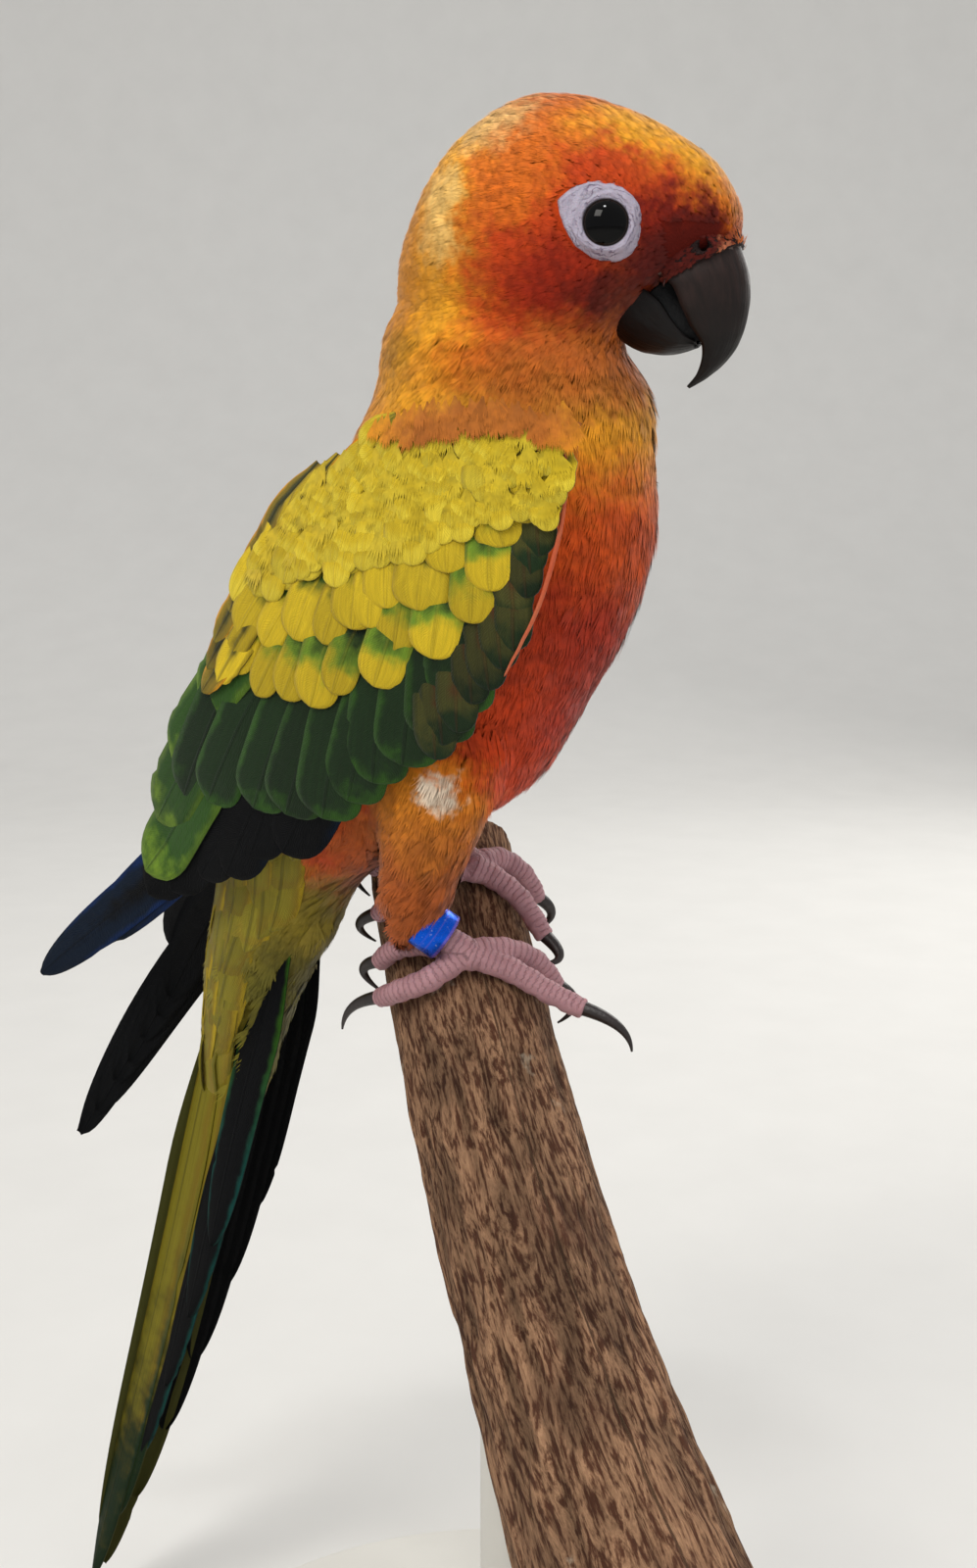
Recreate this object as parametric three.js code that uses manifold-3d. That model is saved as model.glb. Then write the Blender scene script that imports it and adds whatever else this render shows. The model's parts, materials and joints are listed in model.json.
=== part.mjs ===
// Sun conure, life size, gripping a short length of branch on a plain stand.
// Millimetres, +Z up. The bird faces +X, its left side is towards +Y.
// Origin: centre of the underside of the stand's base.

import * as THREE from 'three';
import { mergeVertices } from 'three/addons/utils/BufferGeometryUtils.js';
import Module from 'manifold-3d';

const wasm = await Module();
wasm.setup();

// Driving dimensions

const gap = 0.3; // between touching sub-parts
const floorDrop = 128; // from the near foot down to the floor
const birdForward = -8; // the near foot from the base's centre, along X
const birdSide = 24; // the bird's middle plane from the base's centre, along Y

const eyeRadius = 4.3;
const eyeCentre = new THREE.Vector3(18.8, 11, 106.9);
const gaze = new THREE.Vector3(0.26, 0.965, 0.04); // the way the left eye looks
const lidOpening = 3.0;
const lidThickness = 0.7;

const nostrilRadius = 0.9;
const nostrilPlace = new THREE.Vector3(30.9, 5.6, 104.5);

const wingSpan = 130; // from the bend to the tip of the folded wing
const wingThickness = 3.2;
const wingBulge = 6.2;

const vaneRootThickness = 0.8;
const vaneTipThickness = 0.45;
const vaneSink = -1.9; // a root's depth in the arm
const vaneTurn = 5; // range of degrees between neighbours
const vaneSpread = 0.12; // range of length, as a share

const shankRadius = 2.1;
const toeRadius = 2.0;
const palmRadius = 2.5;
const clawRadius = 1.05;
const clawTipRadius = 0.22;
const clawBow = 3.4; // how far a claw runs on before it bends

const ringOuterRadius = 3.7;
const ringWall = 0.7;
const ringHeight = 4.6;
const ringStation = 0.38; // along the shank

const perchRadius = 12.2;
const perchFlare = 2.6; // thicker at the low end
const perchSides = 18;

const baseRadius = 62;
const baseThickness = 10;
const baseBevel = 1.2;
const rodRadius = 3.6;
const rodStations = [0.45, 0.74]; // along the perch

// Geometry helpers

function point(x, y, z) {
  return new THREE.Vector3(x, y, z);
}

function mirrored(place) {
  return point(place.x, -place.y, place.z);
}

function signedVolume(points, faces) {
  let volume = 0;
  for (let at = 0; at < faces.length; at += 3) {
    const [a, b, c] = [points[faces[at]], points[faces[at + 1]], points[faces[at + 2]]];
    volume += a.dot(b.clone().cross(c)) / 6;
  }
  return volume;
}

// Closed solid from points and triangles, turned right side out
function solidFrom(points, faces) {
  const order = signedVolume(points, faces) < 0 ? faces.slice().reverse() : faces;
  const mesh = new wasm.Mesh({
    numProp: 3,
    vertProperties: new Float32Array(points.flatMap((place) => place.toArray())),
    triVerts: new Uint32Array(order),
  });
  return new wasm.Manifold(mesh);
}

// Closed solid over a row of rings, each with the same number of points
function loft(rings) {
  const sides = rings[0].length;
  const points = rings.flat();
  const faces = [];
  for (let ring = 0; ring + 1 < rings.length; ring += 1) {
    for (let side = 0; side < sides; side += 1) {
      const next = (side + 1) % sides;
      const [a, b] = [ring * sides + side, ring * sides + next];
      faces.push(a, b, b + sides, a, b + sides, a + sides);
    }
  }
  const lastRing = (rings.length - 1) * sides;
  const firstCentre = points.push(middleOf(rings[0])) - 1;
  const lastCentre = points.push(middleOf(rings.at(-1))) - 1;
  for (let side = 0; side < sides; side += 1) {
    const next = (side + 1) % sides;
    faces.push(firstCentre, next, side, lastCentre, lastRing + side, lastRing + next);
  }
  return solidFrom(points, faces);
}

function middleOf(ring) {
  const sum = ring.reduce((total, place) => total.add(place), point(0, 0, 0));
  return sum.divideScalar(ring.length);
}

// Ellipse round a centre, with its two half axes as vectors
function oval(centre, first, second, sides) {
  return Array.from({ length: sides }, (unused, side) => {
    const turn = (2 * Math.PI * side) / sides;
    return centre
      .clone()
      .addScaledVector(first, Math.cos(turn))
      .addScaledVector(second, Math.sin(turn));
  });
}

function fromGeometry(geometry) {
  const bare = geometry.clone();
  bare.deleteAttribute('normal');
  bare.deleteAttribute('uv');
  const merged = mergeVertices(bare, 1e-4);
  const place = merged.getAttribute('position');
  const points = Array.from({ length: place.count }, (unused, at) =>
    point(place.getX(at), place.getY(at), place.getZ(at)),
  );
  return solidFrom(points, Array.from(merged.index.array));
}

function toGeometry(solid) {
  const parts = solid.decompose();
  const largest = parts.reduce((best, part) => (part.volume() > best.volume() ? part : best));
  const mesh = largest.getMesh();
  const geometry = new THREE.BufferGeometry();
  geometry.setAttribute('position', new THREE.BufferAttribute(mesh.vertProperties, 3));
  geometry.setIndex(new THREE.BufferAttribute(mesh.triVerts, 1));
  geometry.computeVertexNormals();
  return geometry;
}

function joined(solids) {
  return solids.reduce((whole, solid) => whole.add(solid));
}

function without(solid, tools) {
  return tools.reduce((rest, tool) => rest.subtract(tool), solid);
}

// Everything on the side of a plane that its normal points to
function halfSpace(onPlane, normal) {
  const reach = 400;
  const box = new THREE.BoxGeometry(reach, reach, reach);
  box.translate(0, 0, reach / 2);
  const turn = new THREE.Quaternion().setFromUnitVectors(point(0, 0, 1), normal.clone().normalize());
  box.applyQuaternion(turn);
  box.translate(onPlane.x, onPlane.y, onPlane.z);
  return fromGeometry(box);
}

function ball(centre, radius, sides) {
  const geometry = new THREE.SphereGeometry(radius, sides, Math.round(sides / 2));
  geometry.translate(centre.x, centre.y, centre.z);
  return fromGeometry(geometry);
}

// Round rod that follows a curve, its radius a function of the way along
function rodAlong(curve, radiusAt, steps, sides) {
  const frames = curve.computeFrenetFrames(steps, false);
  const rings = [];
  for (let step = 0; step <= steps; step += 1) {
    const along = step / steps;
    const radius = radiusAt(along);
    const across = frames.normals[step].clone().multiplyScalar(radius);
    const up = frames.binormals[step].clone().multiplyScalar(radius);
    rings.push(oval(curve.getPointAt(along), across, up, sides));
  }
  return loft(rings);
}

// Thin closed feather from sections { left, right, up }, both faces split into triangles alike
function vaneSolid(sections) {
  const points = sections.flatMap(({ left, right, up }) => [
    left.clone().add(up),
    right.clone().add(up),
    right.clone().sub(up),
    left.clone().sub(up),
  ]);
  const faces = [];
  for (let section = 0; section + 1 < sections.length; section += 1) {
    const [a, b, c, d] = [0, 1, 2, 3].map((corner) => section * 4 + corner);
    const [e, f, g, h] = [a + 4, b + 4, c + 4, d + 4];
    faces.push(a, b, f, a, f, e, d, g, c, d, h, g);
    faces.push(a, e, h, a, h, d, b, c, g, b, g, f);
  }
  const last = (sections.length - 1) * 4;
  faces.push(0, 3, 2, 0, 2, 1, last, last + 1, last + 2, last, last + 2, last + 3);
  return solidFrom(points, faces);
}

// Repeatable random numbers from 0 to 1
function randomFrom(seed) {
  let state = seed;
  return () => {
    state = (state * 16807) % 2147483647;
    return state / 2147483647;
  };
}

// Share of a feather's full width at each place from its root to its tip
const roundTip = [[0, 0.5], [0.55, 1], [0.88, 0.86], [1, 0.3]];
const longTip = [[0, 0.5], [0.5, 1], [0.78, 0.86], [0.92, 0.56], [1, 0.16]];

function vaneThickness(along) {
  return THREE.MathUtils.lerp(vaneRootThickness, vaneTipThickness, along);
}

function material(colour, roughness, metalness = 0) {
  return new THREE.MeshStandardMaterial({ color: colour, roughness, metalness });
}

// Head and trunk, one smooth form that is parted afterwards. Each station has its two ends in
// the bird's middle plane as [x, z], breast and back or crown and throat, and its half width.

const trunkStations = [
  { profile: [[12, 105], [-5, 108]], half: 9 },
  { profile: [[17.8, 93.6], [-15.8, 98]], half: 15.2 },
  { profile: [[22.5, 86.2], [-19, 87]], half: 18 },
  { profile: [[23.2, 78], [-23.4, 78]], half: 20.6 },
  { profile: [[23.4, 66], [-30, 67]], half: 21.8 },
  { profile: [[20.4, 54], [-36, 55]], half: 21.8 },
  { profile: [[14.4, 42.5], [-41, 42]], half: 20.4 },
  { profile: [[7, 30.5], [-44.5, 28]], half: 17 },
  { profile: [[-5, 21.5], [-46.5, 18]], half: 13.2 },
  { profile: [[-21, 13], [-48.5, 8]], half: 9.5 },
  { profile: [[-27.5, 3], [-50.5, -2]], half: 8 },
];

const headStations = [
  { profile: [[-14.9, 103.5], [-14.9, 99]], half: 2.5 },
  { profile: [[-12.6, 109.4], [-12.6, 94]], half: 8.5 },
  { profile: [[-8.2, 117.8], [-8.2, 89]], half: 13 },
  { profile: [[-2.4, 123.4], [-2.4, 86]], half: 16 },
  { profile: [[5, 126.6], [5, 86]], half: 17.2 },
  { profile: [[12.5, 126.2], [12.5, 89.5]], half: 16.7 },
  { profile: [[19.5, 123.8], [19, 94.2]], half: 14.6 },
  { profile: [[26.3, 120.2], [24.5, 98.6]], half: 11.2 },
  { profile: [[31.6, 115.8], [29.5, 102]], half: 8 },
  { profile: [[34.9, 110], [34.2, 104.8]], half: 4.4 },
];

// Oval sections between two profile lines, swollen all round by `grow`
function bodyLoft(stations, steps, sides, grow) {
  const line = (side) =>
    new THREE.CatmullRomCurve3(
      stations.map((at) => point(at.profile[side][0], at.half, at.profile[side][1])),
      false,
      'centripetal',
    );
  const lines = [line(0), line(1)];
  const rings = [];
  for (let step = 0; step <= steps; step += 1) {
    const [front, back] = lines.map((curve) => curve.getPoint(step / steps));
    const half = front.y + grow;
    front.y = 0;
    back.y = 0;
    const centre = front.clone().add(back).multiplyScalar(0.5);
    const deep = front.clone().sub(centre);
    deep.setLength(deep.length() + grow);
    rings.push(oval(centre, deep, point(0, half, 0), sides));
  }
  return loft(rings);
}

function bodyForm(grow = 0) {
  const trunk = bodyLoft(trunkStations, 20, 24, grow);
  const head = bodyLoft(headStations, 16, 24, grow);
  return trunk.add(head);
}

const headPlane = { at: point(0, 0, 93.2), normal: point(0.1, 0, 1) };
const neckPlane = { at: point(0, 0, 82), normal: point(0.09, 0, 1) };
const tailPlane = { at: point(-36, 0, 10), normal: point(0.31, 0, 0.95) };

function above(plane) {
  const offset = plane.normal.clone().setLength(gap / 2);
  return halfSpace(plane.at.clone().add(offset), plane.normal);
}

function below(plane) {
  const offset = plane.normal.clone().setLength(gap / 2);
  return halfSpace(plane.at.clone().sub(offset), plane.normal.clone().negate());
}

// Bill: the upper one is a hook, each section from the ridge to the cutting edge

const upperBillStations = [
  { ridge: [34.6, 105.2], edge: [23.2, 100.4], half: 5.8 },
  { ridge: [35.8, 101.6], edge: [25.4, 98.9], half: 5.9 },
  { ridge: [36.1, 98], edge: [26.6, 96.6], half: 5.4 },
  { ridge: [35.7, 94.9], edge: [27.8, 94.3], half: 4.6 },
  { ridge: [34.7, 92], edge: [29.6, 91.9], half: 3.4 },
  { ridge: [32.9, 89.5], edge: [29.7, 89.9], half: 2.3 },
  { ridge: [30.6, 87.6], edge: [29, 88], half: 1.2 },
  { ridge: [27.9, 86.1], edge: [27.6, 86.4], half: 0.35 },
];

// Bare skin over the root of the upper bill, pierced by the nostrils
const cereStations = [
  { ridge: [34.1, 108], edge: [24.4, 104], half: 5.8 },
  { ridge: [34.8, 105.55], edge: [23.4, 100.75], half: 6 },
];

// The lower bill is a scoop, its ridge below
const lowerBillStations = [
  { ridge: [17.6, 93.2], edge: [23.2, 99.9], half: 5.2 },
  { ridge: [20, 91.6], edge: [25.2, 98.2], half: 5.2 },
  { ridge: [23, 90.8], edge: [26.6, 95.6], half: 4.7 },
  { ridge: [26, 90.8], edge: [28, 93.4], half: 3.8 },
  { ridge: [28.6, 91.5], edge: [29.2, 92.4], half: 2.2 },
];

// Section with a round back over the ridge and a flat side at the cutting edge
function billRing(ridge, edge, half, sides) {
  const deep = ridge.clone().sub(edge);
  const round = Array.from({ length: sides }, (unused, side) => {
    const turn = (Math.PI * side) / (sides - 1);
    const rise = Math.pow(Math.sin(turn), 0.8);
    return edge
      .clone()
      .addScaledVector(deep, 0.12 + 0.88 * rise)
      .add(point(0, half * Math.cos(turn), 0));
  });
  const hollow = edge.clone();
  return [...round, hollow];
}

function billForm(stations, steps, sides, grow) {
  const line = (side) =>
    new THREE.CatmullRomCurve3(stations.map((at) => point(at[side][0], at.half, at[side][1])));
  const [ridgeLine, edgeLine] = [line('ridge'), line('edge')];
  const rings = [];
  for (let step = 0; step <= steps; step += 1) {
    const ridge = ridgeLine.getPoint(step / steps);
    const edge = edgeLine.getPoint(step / steps);
    const half = ridge.y + grow;
    ridge.y = 0;
    edge.y = 0;
    const outward = ridge.clone().sub(edge).setLength(grow);
    rings.push(billRing(ridge.add(outward), edge.sub(outward), half, sides));
  }
  return loft(rings);
}

// Wings: two edges in the wing's own plane, u towards the tip and v towards the back

class WingPlane {
  // `lowShare` of the depth below the arm is kept in front; the rear bows back by `backBow`
  constructor(bend, tip, overBack, lowShare = 1, backBow = 0) {
    Object.assign(this, { bend, lowShare, backBow });
    this.u = tip.clone().sub(bend).normalize();
    this.n = this.u.clone().cross(overBack.clone().sub(bend)).normalize();
    if (this.n.y * bend.y < 0) this.n.negate();
    this.v = this.n.clone().cross(this.u);
    if (this.v.z < 0) this.v.negate();
    this.length = tip.distanceTo(bend);
  }

  // Place on the wing's bulging outer face, lifted by `lift`
  place(u, v, lift = 0) {
    const along = Math.max(0, 1 - Math.pow((u - 40) / 52, 2));
    const across = 1 - Math.pow((v - 5) / 28, 2);
    const out = wingBulge * along * across + lift;
    const kept = THREE.MathUtils.lerp(this.lowShare, 1, THREE.MathUtils.smoothstep(u, 40, 90));
    const bow = this.backBow * Math.sin(Math.PI * THREE.MathUtils.clamp((u - 30) / 100, 0, 1));
    return this.bend
      .clone()
      .addScaledVector(this.u, u * (this.length / wingSpan))
      .addScaledVector(this.v, bow + (v < 0 ? v * kept : v))
      .addScaledVector(this.n, out);
  }
}

function wingSection(plane, high, low, thickness, sides) {
  return Array.from({ length: sides }, (unused, side) => {
    const turn = (2 * Math.PI * side) / sides;
    const across = (1 - Math.cos(turn)) / 2;
    const u = THREE.MathUtils.lerp(high.x, low.x, across);
    const v = THREE.MathUtils.lerp(high.y, low.y, across);
    const lift = (thickness / 2) * (Math.sin(turn) - 1);
    return plane.place(u, v, lift);
  });
}

// Arm of the wing under its small feathers; the vanes root in it
const coreUpperEdge = new THREE.SplineCurve(
  [[-2, 4], [4, 12], [19, 23.4], [31, 25], [43, 22.6], [54, 18.4], [62, 10]]
    .map(([u, v]) => new THREE.Vector2(u, v)),
);
const coreLowerEdge = new THREE.SplineCurve(
  [[-2.6, 2.6], [2, -3], [11, -8.4], [24, -12], [38, -12], [52, -7.5], [63, 2]]
    .map(([u, v]) => new THREE.Vector2(u, v)),
);

function wingCore(plane) {
  const steps = 12;
  const rings = [];
  for (let step = 0; step <= steps; step += 1) {
    const along = step / steps;
    const [high, low] = [coreUpperEdge.getPoint(along), coreLowerEdge.getPoint(along)];
    const thickness = THREE.MathUtils.lerp(wingThickness, 1.8, along);
    rings.push(wingSection(plane, high, low, thickness, 12));
  }
  return loft(rings);
}

// Rows of feathers, outermost first. Tips run from `first` to `last` as [u, v]; headings are
// degrees down from the wing's length; `lift` is the height of the tips over the arm's face.
const wingTiers = [
  { count: 7, first: [10, -6.2], low: [33, -9], last: [58, 5.4], headings: [60, 20],
    lengths: [11, 15], width: 10.4, lift: 0.55, tilt: 0.1, tip: roundTip },
  { count: 8, first: [25.6, -15.4], low: [50, -20.6], last: [81, 1.4], headings: [58, 14],
    lengths: [20, 27], width: 10.8, lift: -0.25, tilt: 0.1, tip: roundTip },
  { count: 3, first: [97, 0.6], low: [86, 5.4], last: [70, 11], headings: [11, 5],
    lengths: [42, 30], width: 11.6, lift: -0.75, tilt: -0.08, tip: roundTip },
  { count: 5, first: [54, -18.2], low: [78, -12.6], last: [102, -3.8], headings: [28, 7],
    lengths: [30, 50], width: 11.4, lift: -1.5, tilt: 0.09, tip: roundTip },
  { count: 4, first: [109, -3.6], low: [119, -2.2], last: [129.4, 0.4], headings: [0, -4],
    lengths: [58, 76], width: 8.8, lift: -2.2, tilt: 0.09, tip: longTip },
];

function alongTier(tier, share) {
  const [first, low, last] = [tier.first, tier.low, tier.last].map((at) => new THREE.Vector2(...at));
  const bow = low.multiplyScalar(2).sub(first.clone().add(last).multiplyScalar(0.5));
  return new THREE.QuadraticBezierCurve(first, bow, last).getPoint(share);
}

function wingVane(plane, tier, share, random) {
  const { headings, lengths, width, lift, tilt, tip } = tier;
  const turned = THREE.MathUtils.lerp(...headings, share) + (random() - 0.5) * vaneTurn;
  const heading = THREE.MathUtils.degToRad(turned);
  const length = THREE.MathUtils.lerp(...lengths, share) * (1 + (random() - 0.5) * vaneSpread);
  const end = alongTier(tier, share);
  const way = new THREE.Vector2(Math.cos(heading), -Math.sin(heading));
  const side = new THREE.Vector2(-way.y, way.x);
  const sections = tip.map(([along, breadth]) => {
    const middle = end.clone().addScaledVector(way, -length * (1 - along));
    const half = (width / 2) * breadth;
    const sunk = THREE.MathUtils.lerp(vaneSink, lift, Math.min(1, along / 0.55));
    const [left, right] = [-half, half].map((reach) => {
      const place = middle.clone().addScaledVector(side, reach);
      return plane.place(place.x, place.y, sunk + tilt * reach);
    });
    return { left, right, up: plane.n.clone().multiplyScalar(vaneThickness(along) / 2) };
  });
  return vaneSolid(sections);
}

function featheredWing(plane, seed) {
  const random = randomFrom(seed);
  const vanes = wingTiers.flatMap((tier) =>
    Array.from({ length: tier.count }, (unused, at) =>
      wingVane(plane, tier, at / (tier.count - 1), random)));
  return joined([wingCore(plane), ...vanes]);
}

const rightWingPlane = new WingPlane(
  point(19.2, -25, 76.8), point(-79.2, -8, -6), point(-32.5, -14, 59.5));
const leftWingPlane = new WingPlane(
  point(13, 25, 72), point(-78, 4, -36), point(-35, 14, 52), 0.6, 8.5);

// Tail: graduated, folded to a steep inverted V

// Small feathers over and under the tail's root
const tailCovertStations = [
  { profile: [[-21, 13], [-48.5, 8]], half: 9.5 },
  { profile: [[-27.5, 3], [-50.3, -2]], half: 8 },
  { profile: [[-34, -8], [-51.4, -12]], half: 6.8 },
  { profile: [[-38.6, -20], [-52.4, -23]], half: 5 },
  { profile: [[-42.6, -31], [-52.4, -34]], half: 2.8 },
];

// Half of the tail, from the long middle feather to the short outer one
const tailFeathers = 6;
const tailRoots = [point(-44.6, 1.6, 2), point(-33.6, 5, 4)];
const tailTips = [point(-77, 1.4, -119.6), point(-61.6, 4, -85), point(-48, 6.6, -50)];
const tailWidths = [10.6, 8];
const tailSlants = [58, 24]; // degrees between a vane's face and the tail's side, root view

function tailVane(share, side) {
  const tip = new THREE.QuadraticBezierCurve3(
    tailTips[0],
    tailTips[1].clone().multiplyScalar(2).sub(tailTips[0].clone().add(tailTips[2]).multiplyScalar(0.5)),
    tailTips[2],
  ).getPoint(share);
  const root = tailRoots[0].clone().lerp(tailRoots[1], share);
  const axis = tip.clone().sub(root).normalize();
  const slant = THREE.MathUtils.degToRad(THREE.MathUtils.lerp(...tailSlants, share));
  const forward = point(1, 0, 0).addScaledVector(axis, -axis.x).normalize();
  const outward = point(0, 1, 0).addScaledVector(axis, -axis.y).normalize();
  const across = forward.multiplyScalar(Math.cos(slant)).addScaledVector(outward, Math.sin(slant));
  const up = across.clone().cross(axis).normalize();
  const width = THREE.MathUtils.lerp(...tailWidths, share);
  const sections = longTip.map(([along, breadth]) => {
    const middle = root.clone().lerp(tip, along);
    const half = (width / 2) * breadth;
    const [left, right] = [-half, half].map((reach) => middle.clone().addScaledVector(across, reach));
    return { left, right, up: up.clone().multiplyScalar(vaneThickness(along) / 2) };
  });
  if (side < 0) {
    sections.forEach((section) => {
      section.left = mirrored(section.left);
      section.right = mirrored(section.right);
      section.up = mirrored(section.up);
    });
  }
  return vaneSolid(sections);
}

function featheredTail() {
  const vanes = [];
  for (const side of [1, -1]) {
    for (let feather = 0; feather < tailFeathers; feather += 1) {
      vanes.push(tailVane(feather / (tailFeathers - 1), side));
    }
  }
  return joined([bodyLoft(tailCovertStations, 8, 14, 0), ...vanes]);
}

// Perch: a quadratic curve from its far end, high behind the bird, to its near end

const perchLine = new THREE.QuadraticBezierCurve3(
  point(-17.6, 20.3, 11.1), point(11, -28.5, -31.2), point(43.2, -62.3, -64.5));
const perchLength = perchLine.getLength();

function perchRadiusAt(along) {
  return perchRadius + perchFlare * Math.pow(Math.max(0, (along - 0.45) / 0.55), 2);
}

// Place over the bark: mm from the far end, degrees back from the top, height above it
function onPerch(distance, degrees, height) {
  const along = distance / perchLength;
  const axis = perchLine.getTangentAt(along);
  const top = point(0, 0, 1).addScaledVector(axis, -axis.z).normalize();
  const back = axis.clone().cross(top);
  const turn = THREE.MathUtils.degToRad(degrees);
  const reach = perchRadiusAt(along) + height;
  return perchLine
    .getPointAt(along)
    .addScaledVector(top, reach * Math.cos(turn))
    .addScaledVector(back, reach * Math.sin(turn));
}

function perchForm(grow = 0) {
  return rodAlong(perchLine, (along) => perchRadiusAt(along) + grow, 12, perchSides);
}

// Legs

const farFoot = 14; // mm along the perch from its far end
const nearFoot = 31;
const sole = toeRadius + gap; // height of a toe's middle over the bark

const rightLeg = {
  hip: point(-3.5, -10.5, 39),
  knee: point(-6, -12.6, 26),
  hem: point(-10.4, -12, 5.6), // lowest feathers of the thigh
  ankle: point(-9.6, -12.2, 10.4),
  palm: onPerch(nearFoot, 10, sole + 0.6),
};
const leftLeg = {
  hip: point(-3.5, 10.5, 41),
  knee: point(-8, 12.4, 31),
  hem: point(-16.5, 9.5, 19.4),
  ankle: point(-14.4, 8.4, 21.6),
  palm: onPerch(farFoot, -3, sole + 0.6),
};

// Thigh's radius from the hip to the hem of its feathers
const thighWidths = new THREE.SplineCurve(
  [[0, 9.6], [0.3, 9.6], [0.55, 8], [0.8, 5.5], [1, 1.6]].map(([at, r]) => new THREE.Vector2(at, r)),
);

function thighForm(leg, grow = 0) {
  const curve = new THREE.CatmullRomCurve3([leg.hip, leg.knee, leg.hem]);
  return rodAlong(curve, (along) => thighWidths.getPoint(along).y + grow, 10, 16);
}

function shankForm(leg, grow = 0) {
  const curve = new THREE.LineCurve3(leg.ankle, leg.palm);
  return rodAlong(curve, () => shankRadius + grow, 2, 12);
}

// Each toe and its claw: [mm along the perch from the foot, degrees back from its top, rise]
const rightToes = [
  { way: [[0, 8, 0.4], [3, -16, 0.1], [6.5, -36, 1.2], [10, -48, 4.2]], claw: [17, -61, 8] },
  { way: [[-0.4, 8, 0.4], [-1, -14, 0], [-0.4, -37, 0], [2, -58, 0]], claw: [5, -78, -1.6] },
  { way: [[0, 12, 0.4], [2, 34, 0], [1, 56, 0.1], [-1.4, 77, 0.4]], claw: [-2, 104, 5.6] },
  { way: [[-0.4, 12, 0.4], [-4, 30, 0], [-6.4, 52, 0], [-7.4, 73, 0]], claw: [-5.6, 94, -1.4] },
];
const leftToes = [
  { way: [[0, -6, 0.4], [1.5, -20, 0], [4.6, -37, 0.2], [10.4, -53, 0.6]], claw: [15, -49, -1.2] },
  { way: [[-0.4, -6, 0.4], [-3, -26, 0], [-2.4, -48, 0], [-0.4, -68, 0]], claw: [2, -88, -1.6] },
  { way: [[0, 0, 0.4], [2, 22, 0], [2.6, 44, 0], [1.4, 66, 0]], claw: [2.4, 88, -1.4] },
  { way: [[-0.4, 0, 0.4], [-4.4, 20, 0], [-6.4, 42, 0], [-7.6, 64, 0]], claw: [-6.6, 86, -1.4] },
];

function gripPlace(foot, [distance, degrees, rise]) {
  return onPerch(foot + distance, degrees, sole + rise);
}

function toeForm(foot, toe, grow = 0) {
  const curve = new THREE.CatmullRomCurve3(toe.way.map((place) => gripPlace(foot, place)));
  return rodAlong(curve, (along) => toeRadius * (1 - 0.2 * along) + grow, 6, 8);
}

function footForm(foot, toes, grow = 0) {
  const palm = ball(gripPlace(foot, toes[0].way[0]), palmRadius + grow, 10);
  return joined([palm, ...toes.map((toe) => toeForm(foot, toe, grow))]);
}

// Curved claw from the toe's last waypoint, bending down to its point
function clawForm(foot, toe, grow = 0) {
  const [before, last] = toe.way.slice(-2).map((place) => gripPlace(foot, place));
  const forward = last.clone().sub(before).setLength(clawBow);
  const start = last.clone().addScaledVector(forward, 0.1);
  const bow = last.clone().add(forward);
  const curve = new THREE.QuadraticBezierCurve3(start, bow, gripPlace(foot, toe.claw));
  const radiusAt = (along) => THREE.MathUtils.lerp(clawRadius, clawTipRadius, Math.pow(along, 1.3));
  return rodAlong(curve, (along) => radiusAt(along) + grow, 5, 7);
}

// Leg ring and stand

// Ring round the shank; with `filled`, the whole room that it needs
function legRingForm(leg, filled = false) {
  const outer = filled ? ringOuterRadius + gap : ringOuterRadius;
  const inner = filled ? 0 : ringOuterRadius - ringWall;
  const tall = ringHeight / 2 + (filled ? gap : 0);
  const profile = [[inner, -tall], [outer, -tall], [outer, tall], [inner, tall]];
  if (!filled) profile.push(profile[0]);
  const ring = new THREE.LatheGeometry(profile.map(([r, y]) => new THREE.Vector2(r, y)), 20);
  const way = leg.palm.clone().sub(leg.ankle).normalize();
  ring.applyQuaternion(new THREE.Quaternion().setFromUnitVectors(point(0, 1, 0), way));
  const centre = leg.ankle.clone().lerp(leg.palm, ringStation);
  ring.translate(centre.x, centre.y, centre.z);
  return fromGeometry(ring);
}

function baseForm() {
  const profile = [
    [0, 0],
    [baseRadius, 0],
    [baseRadius, baseThickness - baseBevel],
    [baseRadius - baseBevel, baseThickness],
    [0, baseThickness],
  ];
  const base = new THREE.LatheGeometry(profile.map(([r, y]) => new THREE.Vector2(r, y)), 56);
  base.rotateX(Math.PI / 2);
  return fromGeometry(base);
}

// Rod from the top of the base up into the underside of the perch
function rodForm(along) {
  const place = perchLine.getPointAt(along).add(point(birdForward, birdSide, floorDrop));
  const bottom = baseThickness + gap;
  const rod = new THREE.CylinderGeometry(rodRadius, rodRadius, place.z - bottom, 20);
  rod.rotateX(Math.PI / 2);
  rod.translate(place.x, place.y, (place.z + bottom) / 2);
  const perch = perchForm(gap).translate(birdForward, birdSide, floorDrop);
  return fromGeometry(rod).subtract(perch);
}

// Assembly

const skinOrange = material(0xe8741c, 0.85);
const wingGreen = material(0x3f7a2a, 0.8);
const tailOlive = material(0x8a8a2c, 0.8);
const cereRed = material(0x4a2420, 0.6);
const billBlack = material(0x2a2526, 0.45);
const eyeBlack = material(0x0b0908, 0.12);
const footPink = material(0xb98a88, 0.7);
const clawBlack = material(0x1d1a1a, 0.45);
const ringBlue = material(0x1b3fd0, 0.3, 0.7);
const barkBrown = material(0x8a6a4c, 0.95);
const standGrey = material(0xd8d6d0, 0.5);

const bird = new THREE.Group();
bird.position.set(birdForward, birdSide, floorDrop);

function node(name, solid, finish, parent = bird) {
  const mesh = new THREE.Mesh(toGeometry(solid), finish);
  mesh.name = name;
  parent.add(mesh);
}

const body = bodyForm();
const bodyClear = bodyForm(gap);
const perch = perchForm();
const perchClear = perchForm(gap);

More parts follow.
